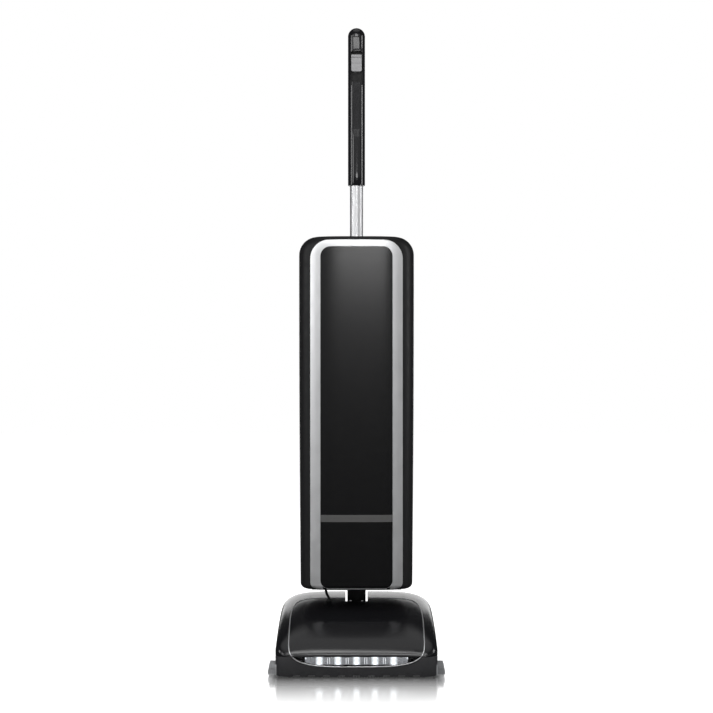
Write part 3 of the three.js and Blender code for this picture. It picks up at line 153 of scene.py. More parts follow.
# ---- camera
def make_camera():
    data = bpy.data.cameras.new("camera")
    data.lens = CAMERA.lens
    data.sensor_width = CAMERA.sensor
    camera = bpy.data.objects.new("camera", data)
    camera.location = CAMERA.place
    camera.rotation_euler = (radians(90), 0, 0)
    bpy.context.scene.collection.objects.link(camera)
    bpy.context.scene.camera = camera


# ---- places
def box_of(node):
    """The low and high corners of a CAD node."""
    return [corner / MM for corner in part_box(node)]


def round_of(node, axis, across):
    """The corners of a round CAD node, its centre across its axis, and its radius as measured on one axis."""
    low, high = box_of(node)
    centre = [(low[k] + high[k]) / 2 for k in range(3) if k != axis]
    return low, high, centre, (high[across] - low[across]) / 2


def row(count, pitch):
    """Places this far apart, centred on zero."""
    return [(i - (count - 1) / 2) * pitch for i in range(count)]


def quarter(steps):
    """Angles from zero to a right angle."""
    return [pi / 2 * k / steps for k in range(steps + 1)]


# ---- mesh tools
def placed(mesh):
    """A new object in the scene with this mesh."""
    piece = bpy.data.objects.new("shape", mesh)
    bpy.context.scene.collection.objects.link(piece)
    return piece


def piece_of(points, faces):
    """A new object from points, with double points merged and its faces turned outward."""
    mesh = bpy.data.meshes.new("shape")
    mesh.from_pydata([Vector(p) * MM for p in points], [], faces)
    shape = bmesh.new()
    shape.from_mesh(mesh)
    bmesh.ops.remove_doubles(shape, verts=shape.verts, dist=1e-7)
    bmesh.ops.recalc_face_normals(shape, faces=shape.faces)
    shape.to_mesh(mesh)
    shape.free()
    return placed(mesh)


def loft(rings, closed=False):
    """A skin through rings of points: a closed path joins last ring to first, and an open one is capped."""
    around = len(rings[0])
    points = [p for ring in rings for p in ring]
    faces = []
    for k in range(len(rings) if closed else len(rings) - 1):
        here = k * around
        there = (k + 1) % len(rings) * around
        for i in range(around):
            j = (i + 1) % around
            faces.append((here + i, here + j, there + j, there + i))
    if not closed:
        faces.append(tuple(range(around)))
        faces.append(tuple(range(len(points) - around, len(points))))
    return piece_of(points, faces)


def along(axis, a, b, height):
    """The point with this height along an axis and a, b in the other two, in x, y, z order."""
    others = [a, b]
    return [height if axis == k else others.pop(0) for k in range(3)]


def circle(axis, centre, radius, height, sides):
    turns = (2 * pi * i / sides for i in range(sides))
    places = ((centre[0] + radius * cos(t), centre[1] + radius * sin(t)) for t in turns)
    return [along(axis, a, b, height) for a, b in places]


def lathe(axis, centre, profile, sides, closed=False):
    """A turned solid: profile is a list of (radius, height)."""
    return loft([circle(axis, centre, r, h, sides) for r, h in profile], closed)


def rod(axis, centre, radius, low, high, sides=48):
    return lathe(axis, centre, [(radius, low), (radius, high)], sides)


def dome(radius, start, rise, steps, tip=0.02):
    """A lathe's profile from a dome's rim to its nearly closed tip."""
    return [(radius * cos(t) + tip, start + rise * sin(t)) for t in quarter(steps)]


def prism(axis, outline, low, high):
    return loft([[along(axis, a, b, h) for a, b in outline] for h in (low, high)])


def block(x, y, z):
    return prism(2, [(x[0], y[0]), (x[1], y[0]), (x[1], y[1]), (x[0], y[1])], z[0], z[1])


def rounded(x, y, radius, steps=8):
    """A rectangle with round corners; radius is one number or (bottom, top)."""
    bottom, top = radius if isinstance(radius, tuple) else (radius, radius)
    corners = [(x[1], y[0], bottom), (x[1], y[1], top), (x[0], y[1], top), (x[0], y[0], bottom)]
    points = []
    for k, (corner_x, corner_y, r) in enumerate(corners):
        centre_x = corner_x - copysign(r, corner_x - (x[0] + x[1]) / 2)
        centre_y = corner_y - copysign(r, corner_y - (y[0] + y[1]) / 2)
        for i in range(steps + 1):
            turn = radians(90 * (k - 1 + i / steps))
            points.append((centre_x + r * cos(turn), centre_y + r * sin(turn)))
    return points


def smooth_path(points, steps=10):
    """A Catmull-Rom curve through points, with so many steps between each two."""
    path = [Vector(p) for p in points]
    ends = [2 * path[0] - path[1], *path, 2 * path[-1] - path[-2]]
    line = []
    for a, b, c, d in zip(ends, ends[1:], ends[2:], ends[3:]):
        for i in range(steps):
            t = i / steps
            bend = (2 * a - 5 * b + 4 * c - d) * t**2 + (3 * b - a - 3 * c + d) * t**3
            line.append(0.5 * (2 * b + (c - a) * t + bend))
    return [*line, path[-1]]


def tube_rings(line, radius, sides):
    """Rings of a round bar along a line."""
    rings = []
    across = None
    for k, here in enumerate(line):
        tangent = (line[min(k + 1, len(line) - 1)] - line[max(k - 1, 0)]).normalized()
        if across is None:
            across = tangent.orthogonal().normalized()
        across = (across - across.dot(tangent) * tangent).normalized()
        out = tangent.cross(across)
        turns = [2 * pi * i / sides for i in range(sides)]
        rings.append([here + radius * (across * cos(t) + out * sin(t)) for t in turns])
    return rings


def combine(piece, tools, operation):
    """Cuts, joins or intersects a piece with tools that are used up."""
    for tool in tools:
        modifier = piece.modifiers.new("combine", "BOOLEAN")
        modifier.operation = operation
        modifier.solver = "MANIFOLD"
        modifier.object = tool
        graph = bpy.context.evaluated_depsgraph_get()
        mesh = bpy.data.meshes.new_from_object(piece.evaluated_get(graph))
        piece.modifiers.clear()
        piece.data = mesh
        bpy.data.objects.remove(tool)
    return piece


def cut(piece, *tools):
    return combine(piece, tools, "DIFFERENCE")


def join(piece, *tools):
    return combine(piece, tools, "UNION")


def common(piece, *tools):
    return combine(piece, tools, "INTERSECT")


def copy_of(piece):
    return placed(piece.data.copy())


def merged(*pieces):
    """One object made of several separate skins."""
    shape = bmesh.new()
    for piece in pieces:
        shape.from_mesh(piece.data)
        bpy.data.objects.remove(piece)
    mesh = bpy.data.meshes.new("shape")
    shape.to_mesh(mesh)
    shape.free()
    return placed(mesh)


def soften(piece, width):
    """Rounds the piece's sharp edges."""
    modifier = piece.modifiers.new("soften", "BEVEL")
    modifier.width = width * MM
    modifier.segments = 2
    modifier.limit_method = "ANGLE"
    modifier.angle_limit = radians(40)
    modifier.harden_normals = True


def dress(piece, name, look, angle=SHARP_EDGE):
    """Names a finished piece, gives it its material and shades it smooth between its sharp edges."""
    piece.name = name
    piece.data.name = name
    piece.data.materials.clear()
    piece.data.materials.append(LOOKS[look])
    piece.data.shade_smooth()
    piece.data.set_sharp_from_angle(angle=radians(angle))


def show(piece, name, body, look, *nodes, edge=0, angle=SHARP_EDGE):
    """Dresses a finished piece and puts it on its body, in place of CAD nodes."""
    dress(piece, name, look, angle)
    if edge:
        soften(piece, edge)
    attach(piece, body)
    if nodes:
        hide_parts(*nodes)


# ---- materials
LOOKS = {}
LED_LIGHT = (0.93, 0.96, 1, 1)

# colour, roughness, grain's size and depth, specular level, unevenness of the gloss
PLASTICS = {
    "gloss_black": ((0.006, 0.006, 0.007), 0.2, 2.2, 0.001, 0.5, 0.18),
    "grip_black": ((0.006, 0.006, 0.007), 0.13, 2.2, 0.001, 0.5, 0.18),
    "satin_black": ((0.009, 0.009, 0.0095), 0.42, 0.6, 0.02, 0.16, 0.18),
    "panel_black": ((0.002, 0.002, 0.0023), 0.25, 0.5, 0.002, 0.5, 0.06),
    "bumper_grey": ((0.022, 0.022, 0.024), 0.5, 0.7, 0.03, 0.35, 0.18),
    "grey_plastic": ((0.19, 0.19, 0.195), 0.42, 0.6, 0.015, 0.5, 0.18),
    "stripe_grey": ((0.058, 0.058, 0.057), 0.55, 0.3, 0.006, 0.25, 0.18),
    "board": ((0.01, 0.08, 0.035), 0.4, 2.5, 0.03, 0.5, 0.18),
}

# colour, roughness, how the fine lines stretch along x, y and z
METALS = {
    "aluminium": ((0.72, 0.725, 0.735), 0.5, (1, 1, 0.02)),
    "steel": ((0.5, 0.51, 0.52), 0.34, (1, 1, 1)),
    "copper": ((0.72, 0.3, 0.14), 0.38, (0.05, 1, 1)),
}


class Nodes:
    """A node tree, with short ways to add nodes to it."""

    def __init__(self, tree):
        self.tree = tree

    def feed(self, socket, value):
        """Gives a socket a constant or another node's output."""
        if isinstance(value, bpy.types.NodeSocket):
            self.tree.links.new(value, socket)
        else:
            socket.default_value = value

    def node(self, kind, inputs, **settings):
        made = self.tree.nodes.new(kind)
        for key, value in settings.items():
            setattr(made, key, value)
        for key, value in inputs.items():
            self.feed(made.inputs[key], value)
        return made

    def maths(self, operation, *values):
        return self.node("ShaderNodeMath", dict(enumerate(values)), operation=operation).outputs["Value"]

    def vector(self, operation, *values):
        made = self.node("ShaderNodeVectorMath", dict(enumerate(values)), operation=operation)
        return made.outputs["Value" if operation == "LENGTH" else "Vector"]

    def range(self, value, low, high, start=0.3, end=0.7, kind="LINEAR"):
        """Runs from low to high as the value runs from start to end."""
        inputs = {"Value": value, "From Min": start, "From Max": end, "To Min": low, "To Max": high}
        return self.node("ShaderNodeMapRange", inputs, interpolation_type=kind).outputs["Result"]


class Finish(Nodes):
    """One procedural material, built round its Principled shader."""

    def __init__(self, name, colour, roughness, metallic=0.0, specular=0.5):
        material = bpy.data.materials.new(name)
        material.use_nodes = True
        super().__init__(material.node_tree)
        self.shader = self.tree.nodes["Principled BSDF"]
        self.colour = colour
        self.roughness = roughness
        self.set("Base Color", (*colour, 1))
        self.set("Roughness", roughness)
        self.set("Metallic", metallic)
        self.set("Specular IOR Level", specular)
        self.place = self.node("ShaderNodeTexCoord", {}).outputs["Object"]
        LOOKS[name] = material

    def set(self, socket, value):
        self.feed(self.shader.inputs[socket], value)

    def noise(self, size, detail=3, stretch=(1, 1, 1), rough=0.5):
        """Noise whose features are about size across."""
        place = self.node("ShaderNodeMapping", {"Vector": self.place, "Scale": stretch}).outputs["Vector"]
        inputs = {"Vector": place, "Scale": 1 / (size * MM), "Detail": detail, "Roughness": rough}
        return self.node("ShaderNodeTexNoise", inputs).outputs["Fac"]

    def tint(self, value, dark, light):
        """Colours the base between two shades of its own colour."""
        mix = self.node("ShaderNodeMix", {"Factor": value}, data_type="RGBA")
        colours = [socket for socket in mix.inputs if socket.type == "RGBA"]
        for socket, shade in zip(colours, (dark, light)):
            socket.default_value = (*(c * shade for c in self.colour), 1)
        self.set("Base Color", next(socket for socket in mix.outputs if socket.type == "RGBA"))

    def gloss(self, value, spread):
        low = self.roughness * (1 - spread)
        high = min(1, self.roughness * (1 + spread))
        self.set("Roughness", self.range(value, low, high))

    def bump(self, value, depth):
        """A bump of this depth; a second call adds to the first."""
        inputs = {"Height": value, "Distance": depth * MM}
        normal = self.shader.inputs["Normal"]
        if normal.is_linked:
            inputs["Normal"] = normal.links[0].from_socket
        self.set("Normal", self.node("ShaderNodeBump", inputs).outputs["Normal"])


def make_plastics():
    """Moulded plastic: a fine grain, uneven gloss and a slow drift of tone."""
    for name, (colour, roughness, grain, depth, specular, uneven) in PLASTICS.items():
        finish = Finish(name, colour, roughness, specular=specular)
        finish.tint(finish.noise(60, 2), 0.88, 1.12)
        finish.gloss(finish.noise(14, 4), uneven)
        finish.bump(finish.noise(grain, 2), depth)


def make_metals():
    """Bare metal with fine lines, paint with metal flakes in it, and a bright plating."""
    for name, (colour, roughness, stretch) in METALS.items():
        finish = Finish(name, colour, roughness, metallic=1.0)
        finish.tint(finish.noise(25, 3), 0.92, 1.06)
        finish.gloss(finish.noise(0.5, 4, stretch), 0.35)
        finish.bump(finish.noise(0.5, 2, stretch), 0.004)

    silver = Finish("silver", (0.74, 0.745, 0.755), 0.42, metallic=0.92)
    silver.tint(silver.noise(0.35, 2), 0.93, 1.07)
    silver.gloss(silver.noise(18, 3), 0.12)
    silver.bump(silver.noise(0.35, 2), 0.006)

    chrome = Finish("chrome", (0.85, 0.86, 0.88), 0.12, metallic=1.0)
    chrome.gloss(chrome.noise(6, 3), 0.4)
    chrome.bump(chrome.noise(3, 2), 0.003)


def make_soft_materials():
    rubber = Finish("rubber_black", (0.014, 0.014, 0.014), 0.72, specular=0.3)
    rubber.tint(rubber.noise(30, 3), 0.8, 1.3)
    rubber.gloss(rubber.noise(4, 3), 0.15)
    rubber.bump(rubber.noise(0.8, 3), 0.04)

    bristle = Finish("bristle", (0.36, 0.365, 0.375), 0.5, specular=0.4)
    bristle.tint(bristle.noise(1.2, 2, (1, 1, 0.1)), 0.6, 1.35)
    bristle.bump(bristle.noise(0.5, 2), 0.02)

    paper = Finish("paper", (0.62, 0.56, 0.45), 0.9, specular=0.2)
    paper.tint(paper.noise(1.5, 5, (1, 1, 0.35), 0.7), 0.8, 1.12)
    paper.bump(paper.noise(1.1, 5, (1, 1, 0.4), 0.7), 0.12)
    paper.bump(paper.noise(30, 3), 0.8)

    pad = Finish("pad", (0.78, 0.78, 0.75), 0.95, specular=0.1)
    pad.tint(pad.noise(1.0, 5, rough=0.7), 0.75, 1.1)
    pad.bump(pad.noise(0.9, 5, rough=0.75), 0.35)


def make_light_materials():
    clear = Finish("clear", (0.96, 0.97, 0.98), 0.03)
    clear.set("Transmission Weight", 1.0)
    clear.set("IOR", 1.2)
    clear.bump(clear.noise(5, 2), 0.004)
    clear.gloss(clear.noise(9, 3), 0.4)

    led = Finish("led", (0.9, 0.92, 0.95), 0.3)
    led.set("Emission Color", LED_LIGHT)
    led.set("Emission Strength", 1.5)
    led.bump(led.noise(0.6, 2), 0.02)

    reflector = Finish("reflector", (0.24, 0.245, 0.255), 0.3, metallic=1.0)
    reflector.gloss(reflector.noise(4, 3), 0.15)
    reflector.bump(reflector.noise(2, 2), 0.008)
    # painted glow: the reflector itself emits light round each LED, standing in for the LEDs' light spilling
    # over its own bowl
    across = reflector.node("ShaderNodeSeparateXYZ", {"Vector": reflector.place}).outputs["X"]
    from_led = reflector.maths("PINGPONG", across, LIGHT.pitch * MM / 2)
    reflector.set("Emission Color", LED_LIGHT)
    reflector.set("Emission Strength", reflector.range(from_led, 1.3, 0.0, 0.002, 0.0075))


# ---- superellipses
def bent(value, power):
    """A sine or cosine pulled out towards a box, with its sign kept."""
    return copysign(abs(value) ** (2 / power), value)


def on_super(turn, power, x, y):
    """A point of the superellipse with half axes x and y."""
    return x * bent(cos(turn), power), y * bent(sin(turn), power)


def turn_of(share, power):
    """The angle at a share of the way round a superellipse, so that equal shares are about equal lengths."""
    quarters, rest = divmod(4 * share, 1)
    q = power / 2
    return pi / 2 * (quarters + rest**q / (rest**q + (1 - rest) ** q))


def share_at(angle, power):
    """The share of a quarter of a superellipse at which turn_of gives this angle."""
    ratio = (angle / (pi / 2)) ** (2 / power)
    rest = (1 - angle / (pi / 2)) ** (2 / power)
    return ratio / (ratio + rest)


# ---- hood, trim and bumper
def base_half_width(y, inset=0.0):
    radius = BASE.corner - inset
    past = max(0, abs(y) - (BASE.half_depth - BASE.corner))
    return BASE.half_width - BASE.corner + sqrt(max(0, radius**2 - min(past, radius) ** 2))


def crown_height(y, inset=0.0):
    """How high the hood's middle line stands above its bottom edge."""
    height = HOOD.height - inset
    crown = HOOD.crown_y
    end = BASE.half_depth - inset
    if y <= crown:
        run = min(1, (crown - y) / (crown + end))
        return height * (1 - run ** HOOD.rise) ** HOOD.fall
    run = min(1, (y - crown) / (end - crown))
    return height * (1 - run ** HOOD.back) ** (1 / HOOD.back)


def hood_rows(inset):
    """Rows of points over the hood, and how many of them come before the notch."""
    power = HOOD.shoulder
    end = BASE.half_depth - inset
    notch = NOTCH.front
    side, middle = HOOD_STEPS.side, HOOD_STEPS.notch
    front = [-end + (notch + end) * (1 - cos(t)) for t in quarter(HOOD_STEPS.front)][:-1]
    rear = [notch + (end - notch) * sin(t) for t in quarter(HOOD_STEPS.rear)]
    rows = []
    for y in front + rear:
        width = base_half_width(y, inset)
        height = crown_height(y, inset)
        reach = share_at(acos((NOTCH.half_width / width) ** (power / 2)), power)
        half = [on_super(turn_of(reach * i / side / 4, power), power, width, height) for i in range(side + 1)]
        across = []
        for i in range(1, middle):
            x = NOTCH.half_width * (2 * i / middle - 1)
            across.append((x, (1 - (abs(x) / width) ** power) ** (1 / power) * height))
        line = [(-x, z) for x, z in half] + across + half[::-1]
        rows.append([(x, y, HOOD.bottom + z) for x, z in line])
    return rows, len(front)


def make_hood():
    """The hood's shell, open below and round the neck's notch."""
    outer, first_row = hood_rows(0)
    inner = hood_rows(WALL)[0]
    columns = len(outer[0])
    notch = range(HOOD_STEPS.side, HOOD_STEPS.side + HOOD_STEPS.notch)
    faces = []
    for k in range(len(outer) - 1):
        for i in range(columns - 1):
            if k < first_row or i not in notch:
                a = k * columns + i
                faces.append((a, a + 1, a + columns + 1, a + columns))
    points = [p for line in outer + inner for p in line]
    count = len(points) // 2
    edges = dict.fromkeys(edge for face in faces for edge in zip(face, face[1:] + face[:1]))
    rim = [(a, b, b + count, a + count) for a, b in edges if (b, a) not in edges]
    faces += [tuple(i + count for i in reversed(face)) for face in faces] + rim
    used = sorted({i for face in faces for i in face})
    place = {i: k for k, i in enumerate(used)}
    hood = piece_of([points[i] for i in used], [tuple(place[i] for i in face) for face in faces])
    show(hood, "hood_shell", "base", "gloss_black", "hood")


def on_hood(x, z):
    """How far forward the hood's front and top lie at a place in the front view, found by halving."""
    near, far = -BASE.half_depth, HOOD.crown_y
    power = HOOD.shoulder
    for _ in range(40):
        y = (near + far) / 2
        share = min(1, abs(x) / base_half_width(y))
        if HOOD.bottom + crown_height(y) * (1 - share**power) ** (1 / power) < z:
            near = y
        else:
            far = y
    return near


def trim_point(share, grow=0.0):
    """A point of the trim's line in the front view; the first half of the way round is its upper half."""
    power, reach = (TRIM.up_power, TRIM.up) if share % 1 < 0.5 else (TRIM.down_power, TRIM.down)
    x, z = on_super(turn_of(share % 1, power), power, TRIM.half_width + grow, reach + grow)
    return x, TRIM.middle + z


def trim_outline(grow, steps=120):
    return [trim_point(i / steps, grow) for i in range(steps)]


def make_trim():
    """A thin round moulding let into the hood, open where the neck's notch crosses it."""
    line = []
    for i in range(TRIM.steps + 1):
        x, z = trim_point(0.25 + i / TRIM.steps)
        if z > TRIM.middle and abs(x) < NOTCH.half_width:
            continue
        y = on_hood(x, z) if z > HOOD.bottom else -BASE.half_depth
        line.append(Vector((x, max(y, TRIM.radius - BASE.half_depth), z)))
    trim = loft(tube_rings(line, TRIM.radius, 12))
    show(trim, "trim_moulding", "base", "silver", "hood_trim")


def base_outline(inset):
    x, y = BASE.half_width - inset, BASE.half_depth - inset
    return rounded((-x, x), (-y, y), BASE.corner - inset, 20)


def make_bumper():
    """A band round the front and sides, with air notches below and room for the trim and the brushes."""
    low, high, thickness = BUMPER.low, BUMPER.high, BUMPER.thickness
    profile = [(0.8, low), (0.2, low + 0.5), (0, low + 1.5), (0, high - 2), (0.35, high - 0.8), (1.2, high)]
    profile += [(thickness, high), (thickness, low)]
    band = loft([[(x, y, z) for x, y in base_outline(inset)] for inset, z in profile], closed=True)
    front = (-BASE.half_depth - thickness, -BASE.half_depth + 2 * thickness)
    tools = [block(ACROSS, (BUMPER.rear, FAR), UPWARD), prism(1, trim_outline(TRIM.radius + GAP), *front)]
    half = BUMPER.slot_width / 2
    for x in row(BUMPER.slots, 2 * (BASE.half_width - BASE.corner) / BUMPER.slots):
        tools.append(prism(1, rounded((x - half, x + half), (-5, BUMPER.slot_top), (1, 1.5)), *front))
    for side in ("left", "right"):
        a, b = box_of(f"edge_brush_{side}")
        tools.append(block((a.x - 8, b.x + 8), (a.y - GAP, b.y + GAP), (-5, b.z + GAP)))
    show(cut(band, *tools), "bumper_band", "base", "bumper_grey", "bumper")


# ---- jumper cable
def make_cable():
    """The short cable from the housing's tray into the hood, bent between the two."""
    x, y = CABLE.tray
    hood_x, hood_y, hood_z = CABLE.hood
    bottom = HOUSING.bottom
    route = [
        (x, y + 1, bottom + 26),
        (x, y, bottom + 12),
        (x, y - 1, bottom - 2),
        (x + 2, y - 9, hood_z + 12),
        (hood_x, hood_y, hood_z + 3),
        (hood_x, hood_y, hood_z - 6),
        (hood_x, hood_y, hood_z - 14),
    ]
    line = smooth_path(route)
    cable = loft(tube_rings(line, CABLE.radius, 16))
    dress(cable, "jumper_cable_sheath", "rubber_black")
    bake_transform(cable)
    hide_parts("jumper_cable")


# ---- light
def make_lens():
    """The clear window that fills the trim's outline below the hood."""
    a, b = box_of("light_lens")
    outline = [(x, z) for x, z in trim_outline(-TRIM.radius - GAP, 240) if z < b.z]
    show(prism(1, outline, a.y, b.y), "light_lens_cover", "base", "clear", "light_lens", edge=0.4)


def make_light():
    """A tray with one bowl and LED for each light, twin ribs between them and a screw at each end."""
    a, b = box_of("light_reflector")
    middle = (a.z + b.z) / 2
    radius, depth, steps = LIGHT.cup_radius, b.y - a.y - LIGHT.floor, 9
    bowl = [(radius, a.y - 1)]
    for k in range(steps + 1):
        bowl.append((radius * sqrt(1 - (k / steps) ** 2 * LIGHT.cup_curve), a.y + depth * k / steps))
    base = b.y - LED.behind
    led = [(LED.radius, base + 1), *dome(LED.radius, base, -LED.rise, 8, 0.01)]
    window = prism(1, trim_outline(-2 * TRIM.radius), a.y - 1, b.y + 1)
    tray = common(block((a.x - LIGHT.longer, b.x + LIGHT.longer), (a.y, b.y), (a.z, b.z)), window)
    for i, x in enumerate(row(LIGHT.cups, LIGHT.pitch)):
        tray = cut(tray, lathe(1, (x, middle), bowl, 40))
        show(lathe(1, (x, middle), led, 24), f"led_{i + 1}", "base", "led")
    show(tray, "reflector_tray", "base", "reflector", "light_reflector", edge=0.25)

    front = box_of("light_lens")[1].y + 0.05
    centres = [x + side * RIB.apart for x in row(LIGHT.cups - 1, LIGHT.pitch) for side in (-1, 1)]
    for i, x in enumerate(centres):
        outline = rounded((x - RIB.half, x + RIB.half), (a.z + RIB.short, b.z - RIB.short), 0.5)
        show(prism(1, outline, front, front + RIB.height), f"reflector_rib_{i + 1}", "base", "chrome")
    for side, x in (("left", a.x - LENS_SCREW.inward), ("right", b.x + LENS_SCREW.inward)):
        centre = (x, b.z - LENS_SCREW.below)
        screw = rod(1, centre, LENS_SCREW.radius, front, front + LENS_SCREW.length, 20)
        show(screw, f"lens_screw_{side}", "base", "chrome")


# ---- CAD nodes that stay
CARRIED = {
    "satin_black": {
        "base_frame": 0, "nozzle_cover": 0, "neck": 0, "fan_housing": 0.4, "intake_duct": 0.5,
        "outlet_duct": 0.5, "roll_core": 0.4, "fill_tube": 0.4,
    },
    "steel": {
        "sole_plate": 0.3, "motor_can": 0.5, "detent_spring": 0.2, "rear_axle": 0.4, "motor_shaft": 0.3,
        "door_hinge_rod": 0.3,
    },
    "grey_plastic": {
        "roll_bearing_left": 0.3, "roll_bearing_right": 0.3, "fan_impeller": 0.2, "switch_body": 0.2,
        "door_latch_button": 0.8,
    },
    "chrome": {"bearing_belt_end": 0.2, "bearing_fan_end": 0.2},
    "aluminium": {"motor_end_bracket": 0.5},
    "copper": {"armature": 0.6},
    "rubber_black": {"drive_belt": 0.3},
    "paper": {"bag_collar": 0.3},
    "board": {"led_board": 0},
}  # by look: how far each node's sharp edges are rounded


def smooth_group():
    """A modifier tree that welds a CAD mesh and shades it smooth except over its real edges."""
    group = bpy.data.node_groups.new("smooth_by_angle", "GeometryNodeTree")
    for way in ("INPUT", "OUTPUT"):
        group.interface.new_socket("Geometry", in_out=way, socket_type="NodeSocketGeometry")
    tree = Nodes(group)
    start = tree.node("NodeGroupInput", {}).outputs["Geometry"]
    weld = tree.node("GeometryNodeMergeByDistance", {"Geometry": start, "Distance": 2e-6})
    drop = tree.node("GeometryNodeRemoveAttribute", {"Geometry": weld.outputs[0], "Name": "custom_normal"})
    faces = tree.node("GeometryNodeSetShadeSmooth", {"Geometry": drop.outputs[0]})
    angle = tree.node("GeometryNodeInputMeshEdgeAngle", {}).outputs["Unsigned Angle"]
    sharp = tree.node("FunctionNodeCompare", {"A": angle, "B": radians(34)}, operation="GREATER_THAN")
    edges = {"Geometry": faces.outputs[0], "Selection": sharp.outputs["Result"], "Shade Smooth": False}
    whole = tree.node("GeometryNodeSetShadeSmooth", edges, domain="EDGE")
    tree.node("NodeGroupOutput", {"Geometry": whole.outputs[0]})
    return group


def carry_nodes():
    """Keeps CAD nodes, with a material, smooth shading and, where asked, softened edges."""
    group = smooth_group()
    for look, nodes in CARRIED.items():
        for node, edge in nodes.items():
            piece = frame["nodes"][node]
            for slot in piece.material_slots:
                slot.material = LOOKS[look]
            piece.modifiers.new("smooth", "NODES").node_group = group
            if edge:
                soften(piece, edge)


# ---- housing
def housing_width(z):
    """Half the housing's width, a little narrower at its bottom than higher up."""
    share = (z - HOUSING.bottom) / (HOUSING.top - HOUSING.bottom)
    swell = sin(pi * min(1, SWELL.reach * share + SWELL.start))
    return HOUSING.half - SWELL.width + SWELL.width * swell


def end_inset(z, radius, inset=0.0):
    """How far the surface draws in at a height, where the housing's ends are rounded."""
    def rounding(distance, r):
        return r - sqrt(r * r - (r - max(0, distance)) ** 2) if distance < r else 0

    low = z - HOUSING.bottom - inset
    high = HOUSING.top - inset - z
    return rounding(high, radius.top) + rounding(low, radius.bottom)


def housing_heights():
    """Heights above the housing's bottom, close together round its ends."""
    height = HOUSING.top - HOUSING.bottom
    foot, head = WIDTH_ROUND.bottom, WIDTH_ROUND.top
    ends = quarter(HOUSING_STEPS.end)
    steps = HOUSING_STEPS.between
    low = [foot * (1 - cos(t)) for t in ends]
    high = [height - head * (1 - cos(t)) for t in reversed(ends)]
    return low + [foot + (height - foot - head) * k / steps for k in range(1, steps)] + high


def housing_body(inset):
    """The whole housing as one solid, drawn in by an inset."""
    height = HOUSING.top - HOUSING.bottom
    around = HOUSING_STEPS.around
    rings = []
    for above in housing_heights():
        z = HOUSING.bottom + inset + above / height * (height - 2 * inset)
        width = housing_width(z) - inset - end_inset(z, WIDTH_ROUND, inset)
        pinch = inset + end_inset(z, DEPTH_ROUND, inset)
        ring = []
        for i in range(around):
            depth, power = (HOUSING.back, REAR_POWER) if i < around / 2 else (HOUSING.front, FRONT_POWER)
            x, y = on_super(turn_of(i / around, power), power, width, depth - pinch)
            ring.append((x, HOUSING.seam + y, z))
        rings.append(ring)
    return loft(rings)


def face_layer(body, depth):
    """What of a body lies within this depth of the housing's surface."""
    return cut(body, housing_body(depth))


def band_edge(shape, grow):
    """A cutter through the door's front along the band's outer edge or the panel's."""
    x = shape.outer + grow
    radius = (shape.bottom_radius, shape.top_radius)
    return prism(1, rounded((-x, x), (shape.low - grow, shape.high + grow), radius, 12), -FAR, 0)


def rear_tray(outer):
    """The housing's closed bottom behind the hinge."""
    above = block(ACROSS, ACROSS, (TRAY_TOP, TALL))
    barrel = rod(0, HINGE_LINE, HINGE.radius + GAP, *ACROSS)
    return cut(copy_of(outer), above, barrel, block(ACROSS, (-FAR, HINGE.y), UPWARD))


def hinge_ears():
    """Two ears that hold the hinge rod, each with its foot on the tray."""
    ears = []
    for side in (-1, 1):
        x = (side * EAR.x - EAR.half, side * EAR.x + EAR.half)
        foot = (HINGE.z - EAR.low, HINGE.z + EAR.high)
        ears.append(rod(0, HINGE_LINE, EAR.radius, *x, 32))
        ears.append(block(x, (HINGE.y, HINGE.y + HINGE.radius + 4), foot))
    return ears


def vents(rear_face):
    """Cutters for two columns of exhaust slots."""
    slots = []
    for side in (-1, 1):
        x = sorted((side * VENT.inner, side * VENT.outer))
        for i in range(VENT.slots):
            z = VENT.bottom + i * VENT.pitch
            outline = rounded(x, (z, z + VENT.height), VENT.corner)
            slots.append(prism(1, outline, rear_face - 12, rear_face + 5))
    return slots


def bolt_holes():
    """Stepped holes for the two bolts of the handle tube."""
    holes = []
    for bolt in ("tube_bolt_1", "tube_bolt_2"):
        a, b = box_of(bolt)
        centre = (0, (a.z + b.z) / 2)
        holes.append(rod(1, centre, BOLT.hole, TUBE.y, FAR, 24))
        holes.append(rod(1, centre, BOLT.head_hole, b.y - BOLT.head, FAR, 32))
    return holes


def make_housing_back():
    """The rear shell with its tray, the handle tube's boss and the hinge's ears."""
    seam = HOUSING.seam + GAP / 2
    top = HOUSING.top
    rear_face = HOUSING.seam + HOUSING.back
    outer = housing_body(0)
    tray = rear_tray(outer)
    shell = cut(outer, housing_body(WALL), block(ACROSS, (-FAR, seam), UPWARD))
    foot, web = TUBE.bottom - TUBE_BOSS.below, TUBE_BOSS.web
    boss = rod(2, (0, TUBE.y), TUBE.radius + TUBE_BOSS.wall, foot, top - 1)
    rib = block((-web, web), (TUBE.y, rear_face - 1), (foot, top - TUBE_BOSS.web_short))
    x, y = SOCKET.half, SOCKET.depth
    neck = rounded((-x, x), (SOCKET.y - y, SOCKET.y + y), SOCKET.corner)
    latch = LATCH.half + GAP
    tools = [
        rod(2, (0, TUBE.y), TUBE.radius + GAP, TUBE.bottom, TALL),
        prism(2, neck, 0, box_of("neck")[1].z - 2),
        rod(2, CABLE.tray, CABLE.radius + 1.5, 0, TRAY_TOP + 5),
        block((-latch, latch), (seam - 5, seam + LATCH.depth), (top - LATCH.height, TALL)),
        rod(0, HINGE_LINE, HINGE.pin + GAP, -EAR.x - 4, EAR.x + 4, 20),
        *vents(rear_face),
        *bolt_holes(),
    ]
    back = cut(join(shell, tray, boss, rib, *hinge_ears()), *tools)
    show(back, "housing_rear_shell", "upright", "satin_black", "housing_back", edge=0.4)


